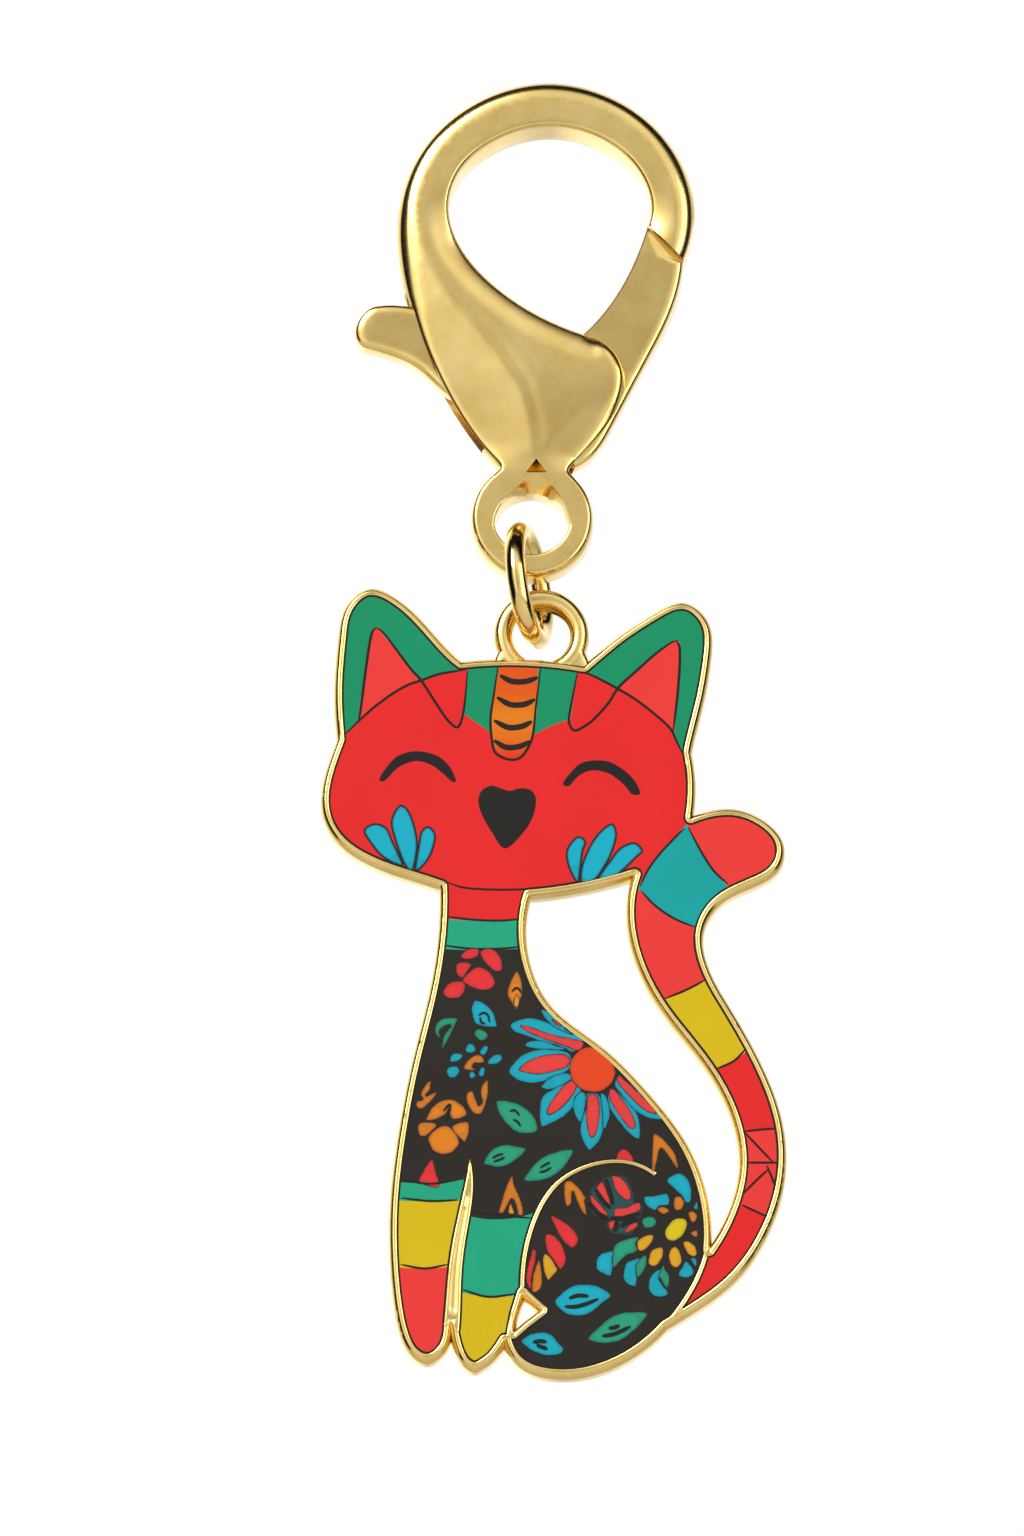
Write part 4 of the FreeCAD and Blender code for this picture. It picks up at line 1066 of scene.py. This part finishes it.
FLOWER_HEART = [
    [(2.18, -33.98), (2.38, -33.1), (3.03, -32.42), (3.91, -32.2), (4.66, -32.54), (5.18, -33.05),
     (5.56, -33.73), (5.64, -34.36), (5.35, -35.09), (4.66, -35.65), (3.91, -35.75), (3.03, -35.51),
     (2.46, -34.92)],
]
# Painted shadow: one dark sheet under the small coral petals, so the gaps between them look shaded.
PETAL_GAP_SHADOW = [
    [(3.68, -43.45), (4.23, -42.88), (4.91, -42.32), (5.59, -42.18), (6.41, -42.32), (6.95, -43.45),
     (7.09, -44.3), (7.64, -44.44), (7.64, -45.01), (7.36, -45.86), (6.82, -46.71), (6, -46.78),
     (5.18, -46.57), (4.91, -45.86), (5.32, -45.58), (4.77, -45.51), (4.02, -45.3), (3.68, -44.3)],
]
CHEEK_PETALS = [
    [(-12.45, -14.84), (-13.23, -15.39), (-12.67, -16.48), (-11.7, -17.57), (-10.28, -18.19),
     (-10.57, -17.18), (-11.03, -16.17), (-11.51, -15.15)],
    [(-7.8, -15.78), (-8.32, -15.07), (-8.92, -15.46), (-9.15, -16.63), (-9.4, -18.58), (-8.74, -18.19),
     (-8.1, -17.18)],
    [(-10.57, -13.44), (-11.17, -14.61), (-10.95, -15.97), (-10.2, -18.04), (-9.53, -18.51),
     (-9.15, -16.63), (-9.38, -15), (-9.9, -13.75)],
    [(2.77, -15.85), (1.95, -16.99), (2.17, -18.43), (2.85, -19.52), (3.07, -18.35), (3.23, -17.1),
     (3.45, -16.24)],
    [(7.12, -16.32), (6.08, -16.67), (5.29, -17.61), (4.27, -19.29), (5.77, -18.9), (7.27, -17.49),
     (7.72, -16.99)],
    [(5.33, -14.84), (4.09, -15.93), (3.15, -17.92), (3.07, -19.44), (4.09, -19.29), (4.8, -18.35),
     (5.4, -17.18), (5.77, -15.7)],
]
LEAF_VEINS = [
    (0.16, [(-2.27, -37.21), (-1.86, -37.17), (-1.53, -37.58)]),
    (0.16, [(-2.02, -37.88), (-1.7, -38.02), (-1.45, -38.39)]),
    (0.16, [(-3.57, -40.85), (-3.16, -40.63), (-2.76, -40.51)]),
    (0.16, [(-3.49, -41.14), (-3, -40.97), (-2.64, -40.77)]),
    (0.16, [(0.02, -41.61), (0.39, -41.36), (0.75, -41.19)]),
    (0.16, [(-0.07, -41.95), (0.39, -41.85), (0.83, -41.58)]),
    (0.16, [(-4.6, -29.78), (-4.22, -29.58), (-3.9, -29.78), (-3.78, -30.34)]),
    (0.16, [(-4.5, -29.91), (-4.39, -30.34), (-4.11, -30.39)]),
    (0.16, [(-2.1, -27.96), (-1.86, -27.68), (-1.57, -27.74), (-1.4, -28.05)]),
    (0.16, [(-6.83, -37.04), (-6.82, -37.38), (-6.99, -37.88)]),
    (0.16, [(-7.24, -37.21), (-6.75, -36.7), (-6.78, -37.38)]),
    (0.3, [(2.15, -51.71), (2.86, -51.49), (3.61, -51.54)]),
    (0.3, [(1.84, -52.34), (2.59, -52.36), (3.41, -52.15), (4.36, -51.75)]),
    (0.3, [(5.11, -54.02), (5.52, -53.97), (5.93, -53.8)]),
    (0.3, [(4.61, -54.63), (5.59, -54.44), (6.75, -53.88)]),
    (0.3, [(-0.55, -55.11), (0, -55.01), (0.48, -55.08)]),
    (0.3, [(-0.27, -55.29), (0.14, -55.48), (0.55, -55.62)]),
    (0.32, [(4.12, -43.24), (4.64, -44.09), (5.25, -44.73)]),
    (0.32, [(4.91, -42.46), (5.21, -43.45), (5.43, -44.44)]),
    (0.32, [(3.68, -44.3), (4.36, -45.15), (5.05, -45.47)]),
    (0.32, [(5.32, -45.47), (6.27, -45.51), (7.5, -45.15)]),
    (0.32, [(5.66, -45.65), (5.73, -46.08), (5.52, -46.5)]),
    (0.32, [(6, -46.15), (6.55, -45.79), (7.36, -45.58)]),
]
FACE_LINES = [
    (0.2, [(-14.7, -7.98), (-13.61, -6.88), (-12.45, -5.79), (-11.03, -4.7), (-9.9, -4.04),
           (-8.92, -3.69), (-7.65, -3.22), (-6.38, -2.98), (-5.55, -2.83)]),
    (0.2, [(2.85, -3.06), (3.64, -3.18), (4.8, -3.76), (5.92, -4.39), (7.27, -5.25), (8.62, -6.34),
           (9.75, -7.43), (10.24, -8.44), (10.65, -9.34)]),
    (0.2, [(-12.3, 0.45), (-12.67, -0.18), (-13.05, -2.67), (-13.42, -5.71), (-13.61, -6.96)]),
    (0.2, [(-12.3, 0.45), (-11.7, -0.02), (-10.57, -1.58), (-9.6, -2.91), (-8.92, -3.69), (-7.65, -5.71),
           (-6.9, -6.81), (-6.22, -7.35), (-5.85, -6.65), (-5.62, -5.17), (-5.44, -2.91)]),
    (0.2, [(10.28, -0.57), (10.5, -1.5), (10.35, -4.47), (9.97, -7.82)]),
    (0.2, [(10.28, -0.57), (9.75, -0.8), (8.62, -1.66), (7.27, -2.91), (5.92, -4.2), (5.1, -5.5),
           (4, -6.75), (3.2, -7.35), (2.6, -7.6), (2.27, -7.25), (2.17, -6.6), (2.5, -4.7), (2.8, -3.1)]),
    (0.2, [(-3.15, -2.59), (-3.45, -4.7), (-3.71, -6.65), (-3.6, -8.44), (-3.3, -9.38), (-2.4, -9.85),
           (-1.57, -9.77), (-0.97, -9.07), (-0.53, -7.9), (-0.3, -5.64), (0.07, -2.59)]),
]
BAND_LINES = [
    (0.17, [(-7.12, -19.36), (-5.77, -19.83), (-3.82, -19.99), (-1.72, -19.99), (0.3, -19.83),
            (2.25, -19.52)]),
    (0.17, [(-7.42, -22.02), (-5.1, -22.33), (-3, -22.41), (-1.2, -22.25)]),
    (0.17, [(-7.5, -24.28), (-5.25, -24.59), (-3, -24.59), (-1.35, -24.43)]),
    (0.17, [(10.8, -15.23), (10.05, -16.01), (9, -17.18), (8.1, -18.43), (7.5, -19.75)]),
    (0.17, [(11.1, -15.15), (12.15, -17.18), (13.05, -18.58), (14.1, -19.6)]),
    (0.17, [(7.54, -20.07), (8.62, -21.24), (10.05, -22.25), (11.62, -22.92)]),
    (0.17, [(9.3, -28.49), (10.95, -27.79), (12.38, -27.01)]),
    (0.17, [(13.12, -33.95), (14.47, -33.33), (15.38, -32.39)]),
    (0.17, [(15.22, -38.79), (16.5, -38.63), (17.85, -38.55)]),
    (0.17, [(15.3, -38.86), (16.35, -40.03), (17.44, -41.2)]),
    (0.17, [(15.38, -41.2), (16.65, -41.2), (17.85, -41.2)]),
    (0.17, [(17.1, -41.67), (16.12, -42.61), (15.15, -43.62)]),
    (0.17, [(16.95, -41.44), (17.32, -42.37), (17.62, -43.15)]),
    (0.17, [(15.07, -44.48), (16.05, -44.95), (17.02, -45.42)]),
    (0.17, [(-10.2, -42.53), (-8.25, -42.84), (-6.15, -42.53)]),
    (0.17, [(-10.38, -43.93), (-8.25, -44.17), (-6.08, -44.09)]),
    (0.17, [(-10.42, -49.08), (-8.62, -49.39), (-6.9, -49.08)]),
    (0.17, [(-5.02, -44.91), (-3.3, -45.26), (-0.6, -45.49)]),
    (0.17, [(-5.77, -51.03), (-3.9, -51.58), (-1.8, -51.34)]),
]
STRIPE_BANDS = [
    (0.44, [(-3, -3.3), (-2.1, -3.76), (-1.05, -3.76), (-0.15, -3.45)]),
    (0.44, [(-3.23, -5.01), (-2.25, -5.56), (-1.2, -5.56), (-0.38, -5.17)]),
    (0.44, [(-3.45, -6.81), (-2.4, -7.35), (-1.35, -7.27), (-0.6, -6.88)]),
    (0.44, [(-3.45, -8.37), (-2.55, -8.91), (-1.5, -8.83), (-0.75, -8.44)]),
]
NOSE = [
    [(-3.6, -11.91), (-2.95, -12.11), (-2.25, -12.31), (-1.72, -12.15), (-1.12, -12.11), (-0.53, -12.39),
     (-0.3, -13.12), (-0.53, -14.29), (-1.24, -15.54), (-2.62, -16.79), (-3.6, -15.54), (-4.35, -14.18),
     (-4.62, -13.09), (-4.35, -12.27)],
]
EYE_LEFT = [
    [(-12.04, -11.41), (-11.51, -10.47), (-10.57, -9.54), (-9.15, -9.22), (-7.65, -9.61), (-6.75, -10.47),
     (-6.3, -11.49), (-6.63, -11.56), (-7.2, -11.02), (-8.1, -10.32), (-9, -10), (-9.79, -10.08),
     (-10.72, -10.55), (-11.62, -11.49)],
]
EYE_RIGHT = [
    [(1.72, -11.76), (2.25, -10.94), (3.07, -10.16), (4.2, -9.93), (5.29, -10.08), (6.3, -10.71),
     (7.12, -11.56), (7.5, -12.5), (6.9, -12.55), (6.22, -11.76), (5.29, -11.02), (4.27, -10.71),
     (3.45, -10.82), (2.77, -11.25), (2.17, -11.91)],
]


def smooth_through(points, closed, parts=7):
    """Points on a smooth curve through the given ones."""
    p = np.array(points, dtype=float)
    if closed:
        before, after, later = np.roll(p, 1, 0), np.roll(p, -1, 0), np.roll(p, -2, 0)
        spans = len(p)
    else:
        padded = np.vstack([2 * p[0] - p[1], p, 2 * p[-1] - p[-2]])
        before, after, later = padded[:-3], padded[2:-1], padded[3:]
        p = padded[1:-2]
        spans = len(p)
    curve = []
    for i in range(spans):
        for t in np.arange(parts) / parts:
            curve.append(0.5 * (2 * p[i] + (after[i] - before[i]) * t
                                + (2 * before[i] - 5 * p[i] + 4 * after[i] - later[i]) * t ** 2
                                + (3 * p[i] - before[i] - 3 * after[i] + later[i]) * t ** 3))
    if not closed:
        curve.append(after[-1])
    return np.array(curve)


def brush_line(points, width):
    """Outline of a drawn line that thins towards its ends."""
    line = smooth_through(points, closed=False)
    along = np.gradient(line, axis=0)
    along /= np.maximum(np.linalg.norm(along, axis=1)[:, None], 1e-9)
    across = np.stack([-along[:, 1], along[:, 0]], axis=1)
    t = np.linspace(-1, 1, len(line))
    half = (width / 2 * (1 - 0.6 * np.abs(t) ** 4))[:, None]
    return np.vstack([line + across * half, (line - across * half)[::-1]])


def anticlockwise(loop):
    """The loop, turned round if it runs clockwise."""
    return loop if signed_area(loop) > 0 else loop[::-1]


def print_slabs(name, outlines, material, lift=PRINT_LIFT, fine=True):
    """Thin prints, each a closed slab bedded in the enamel, all in one piece."""
    vertices = []
    faces = []
    gaps = []
    for number, outline in enumerate(outlines):
        outline = anticlockwise(np.array(outline)) + np.array((0.0, BAIL_MIDDLE[1]))
        rows = (0.1, 0.22) if fine else (0.4,)
        spots, gap, triangles, rings = tiled([outline], rows, 0.4)
        top = ENAMEL_TOP - lift - PRINT_STEP * number
        first = len(vertices)
        vertices += [(p[0], top, p[1]) for p in spots]
        gaps += list(gap)
        faces += [tuple(i + first for i in t) for t in triangles]
        below = len(vertices)
        vertices += [(p[0], ENAMEL_TOP + PRINT_BEDDED, p[1]) for p in spots]
        gaps += list(gap)
        faces += [tuple(i + below for i in reversed(t)) for t in triangles]
        for ring in rings:
            faces += wall_strip([i + first for i in ring], [i + below for i in ring])
    piece = piece_from(name, vertices, faces, material, smooth_angle=30, edge_gaps=gaps)
    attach(piece, "charm")
    return piece


def rounded(shapes):
    """The shapes with smooth closed curves through their points."""
    return [smooth_through(shape, closed=True) for shape in shapes]


def print_flowers():
    """The flowers, leaves and petals: opaque inks that give flat bright colour with a fine dark edge, and a
    painted shadow sheet under the small petals.
    """
    colours = [
        ("surround_petals", SURROUND_PETALS, "enamel_sea_blue", ("#008A9E", "#009EB2", "#1C2428"), 0.014),
        ("coral_petals", CORAL_PETALS, "enamel_coral", ("#CC3230", "#DC3A36", "#2A1F1E"), 0.03),
        ("flower_heart", FLOWER_HEART, "enamel_orange", ("#C83810", "#DA3F0E", "#2A1F1E"), 0.04),
        ("red_petals", RED_PETALS, "enamel_red", ("#C22428", "#DA2C2D", "#2E2321"), 0.014),
        ("blue_leaves", BLUE_LEAVES, "enamel_sea_blue", ("#00889C", "#00A2B5", "#1C2428"), 0.014),
        ("green_leaves", GREEN_LEAVES, "enamel_teal", ("#187A5E", "#1F9672", "#1E2420"), 0.014),
        ("orange_leaves", ORANGE_LEAVES, "enamel_orange", ("#A85F16", "#D67A0E", "#2C2118"), 0.014),
        ("golden_petals", GOLDEN_PETALS, "enamel_yellow", ("#C77A14", "#CFAE10", "#2C2520"), 0.02),
        ("yellow_heart", YELLOW_HEART, "enamel_yellow", ("#B0A010", "#D2B808", "#2C2520"), 0.03),
    ]
    # Painted shadow: a dark green sheet behind the small petals, so that the gaps between them read as
    # shadow.
    painted_shadow_ink = printed_ink("petal_gap_painted_shadow", "#14393A", "#174A48", "#262A28")
    print_slabs("print_petal_gap_painted_shadow", rounded(PETAL_GAP_SHADOW), painted_shadow_ink, 0.012)
    # Clear blue ink with a wider black edge, as a pen would give it.
    petals = printed_ink("cheek_petals", "#0090A6", "#00A4BA", "#1A1818", line=0.1, soft=0.17, mottle=0.03)
    print_slabs("print_cheek_petals", rounded(CHEEK_PETALS), petals)
    for name, shapes, slot, (shade, body, edge), lift in colours:
        ink = printed_ink(name, shade, body, edge)
        print_slabs("print_" + name, rounded(shapes), ink, lift)


def print_lines():
    """The drawn lines, the stripe's bars, the leaves' veins, the nose and the eyes."""
    for name, shapes, lift in (("face_lines", FACE_LINES, 0.012), ("band_lines", BAND_LINES, 0.012),
                               ("stripe_bands", STRIPE_BANDS, 0.014), ("leaf_veins", LEAF_VEINS, 0.075)):
        print_slabs("print_" + name, [brush_line(points, width) for width, points in shapes], line_ink,
                    lift, fine=False)
    print_slabs("print_nose", rounded(NOSE), line_ink, fine=False)
    print_slabs("print_eyes", rounded(EYE_LEFT) + rounded(EYE_RIGHT), line_ink, fine=False)


def rim_painted_shade_lines():
    """Painted shade: the dark line round every pocket, just inside the metal, where the enamel meets the rim
    wall.
    """
    _, _, pockets = rim_edges()
    vertices = []
    faces = []
    for loop in pockets:
        size = len(loop)
        first = len(vertices)
        outer = moved_out(loop, -RIM_SHADE_OVERLAP)
        inner = moved_out(loop, RIM_SHADE_WIDTH)
        top, bottom = ENAMEL_TOP - RIM_SHADE_LIFT, ENAMEL_TOP + PRINT_BEDDED
        for ring, depth in ((outer, top), (inner, top), (inner, bottom), (outer, bottom)):
            vertices += [(p[0], depth, p[1]) for p in ring]
        rows = [list(range(first + k * size, first + (k + 1) * size)) for k in range(4)]
        for k in range(4):
            faces += wall_strip(rows[k], rows[(k + 1) % 4])
    piece = piece_from("rim_painted_shade_lines", vertices, faces, line_ink)
    crisp(piece, 30)
    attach(piece, "charm")


clasp_casting()
gate_casting()
ring_wire()
charm_casting()
print_flowers()
print_lines()
# painted shade along the inside of the rim, where the enamel meets the metal
rim_painted_shade_lines()


# ---- studio ------------------------------------------------------------------
VIEW_ELEVATION = math.radians(-16)
FRAME_HEIGHT = 115.2 * MM
LENS = 800.0
SENSOR = 36.0
VIEW_TARGET = Vector((-2.1 * MM, 0.0, -49.86 * MM))


def studio_camera():
    """A long lens in front of the charm, looking up at it from a little below."""
    camera = bpy.data.cameras.new("camera")
    camera.lens = LENS
    camera.sensor_width = SENSOR
    camera.clip_start = 0.01
    holder = bpy.data.objects.new("camera", camera)
    distance = FRAME_HEIGHT * LENS / SENSOR
    look = Vector((0, math.cos(VIEW_ELEVATION), -math.sin(VIEW_ELEVATION)))
    holder.location = VIEW_TARGET - look * distance
    holder.rotation_euler = look.to_track_quat("-Z", "Y").to_euler()
    bpy.context.scene.collection.objects.link(holder)
    bpy.context.scene.camera = holder


def softbox(name, place, aim, size, power):
    """A rectangular soft light, in metres and watts."""
    light = bpy.data.lights.new(name, "AREA")
    light.shape = "RECTANGLE"
    light.size, light.size_y = size
    light.energy = power
    holder = bpy.data.objects.new(name, light)
    holder.location = place
    holder.rotation_euler = (Vector(aim) - Vector(place)).to_track_quat("-Z", "Y").to_euler()
    bpy.context.scene.collection.objects.link(holder)


def studio():
    """White backdrop, pale and dark panels for the metal to reflect, two softboxes and the floor."""
    scene = bpy.context.scene
    scene.view_settings.view_transform = "Standard"
    world = bpy.data.worlds.new("studio")
    world.use_nodes = True
    tree = world.node_tree
    tree.nodes.clear()
    ray = add(tree, "ShaderNodeLightPath")
    direction = add(tree, "ShaderNodeTexCoord")
    split = add(tree, "ShaderNodeSeparateXYZ", links={0: direction.outputs["Generated"]})
    depth = add(tree, "ShaderNodeMapRange", {"From Min": -1.0, "From Max": 1.0},
                {"Value": split.outputs["Y"]})
    room = add(tree, "ShaderNodeValToRGB", links={"Fac": depth.outputs["Result"]})
    ramp_stops(room, [(0.0, "#BCBCBC"), (0.021, "#C4C4C4"), (0.05, "#E6E6E6"), (0.17, "#DADADA"),
                      (0.25, "#585858"), (0.31, "#080808"), (0.6, "#080808"), (0.68, "#D0D0D0"),
                      (1.0, "#FFFFFF")])
    height = add(tree, "ShaderNodeMapRange",
                 {"From Min": -1.0, "From Max": 1.0, "To Min": 0.62, "To Max": 1.1},
                 {"Value": split.outputs["Z"]})
    across = add(tree, "ShaderNodeMapRange", {"From Min": -1.0, "From Max": 1.0},
                 {"Value": split.outputs["X"]})
    panels = add(tree, "ShaderNodeValToRGB", links={"Fac": across.outputs["Result"]})
    ramp_stops(panels, [(0.0, "#D2D2D2"), (0.35, "#FFFFFF"), (0.44, "#E7E7E7"), (0.5, "#BFBFBF"),
                        (0.56, "#CBCBCB"), (0.63, "#E4E4E4"), (0.8, "#BCBCBC"), (1.0, "#A0A0A0")])
    side = add(tree, "ShaderNodeMath", {"operation": "MULTIPLY", 1: 1.9}, {0: panels.outputs["Color"]})
    level = add(tree, "ShaderNodeMath", {"operation": "MULTIPLY"},
                {0: height.outputs["Result"], 1: side.outputs["Value"]})
    lit = add(tree, "ShaderNodeVectorMath", {"operation": "SCALE"},
              {0: room.outputs["Color"], "Scale": level.outputs["Value"]})
    backdrop = add(tree, "ShaderNodeRGB")
    backdrop.outputs[0].default_value = (1.0, 1.0, 1.0, 1.0)
    seen = add(tree, "ShaderNodeMix", {"data_type": "RGBA"})
    tree.links.new(ray.outputs["Is Camera Ray"], seen.inputs[0])
    tree.links.new(lit.outputs["Vector"], seen.inputs[6])
    tree.links.new(backdrop.outputs[0], seen.inputs[7])
    glow = add(tree, "ShaderNodeBackground", {"Strength": 1.0}, {"Color": seen.outputs[2]})
    add(tree, "ShaderNodeOutputWorld", links={"Surface": glow.outputs["Background"]})
    scene.world = world
    softbox("key_light", (-0.3, -0.4, 0.3), (0, 0, -0.05), (0.35, 0.35), 2.0)
    softbox("fill_light", (0.4, -0.35, 0.0), (0, 0, -0.05), (0.3, 0.5), 0.9)
    floor_mesh = bpy.data.meshes.new("floor")
    reach, level = 0.5, -0.32
    corners = [(-reach, -reach, level), (reach, -reach, level), (reach, reach, level), (-reach, reach, level)]
    floor_mesh.from_pydata(corners, [], [(0, 1, 2, 3)])
    floor = bpy.data.objects.new("floor", floor_mesh)
    bpy.context.scene.collection.objects.link(floor)
    # Matt white paper: an even pale ground with no sheen.
    paper, tree = new_material("white_paper_sweep")
    shader = add(tree, "ShaderNodeBsdfPrincipled", {"Base Color": hex_colour("#EDEDEA"), "Roughness": 0.8})
    add(tree, "ShaderNodeOutputMaterial", links={"Surface": shader.outputs["BSDF"]})
    floor_mesh.materials.append(paper)


studio_camera()
studio()
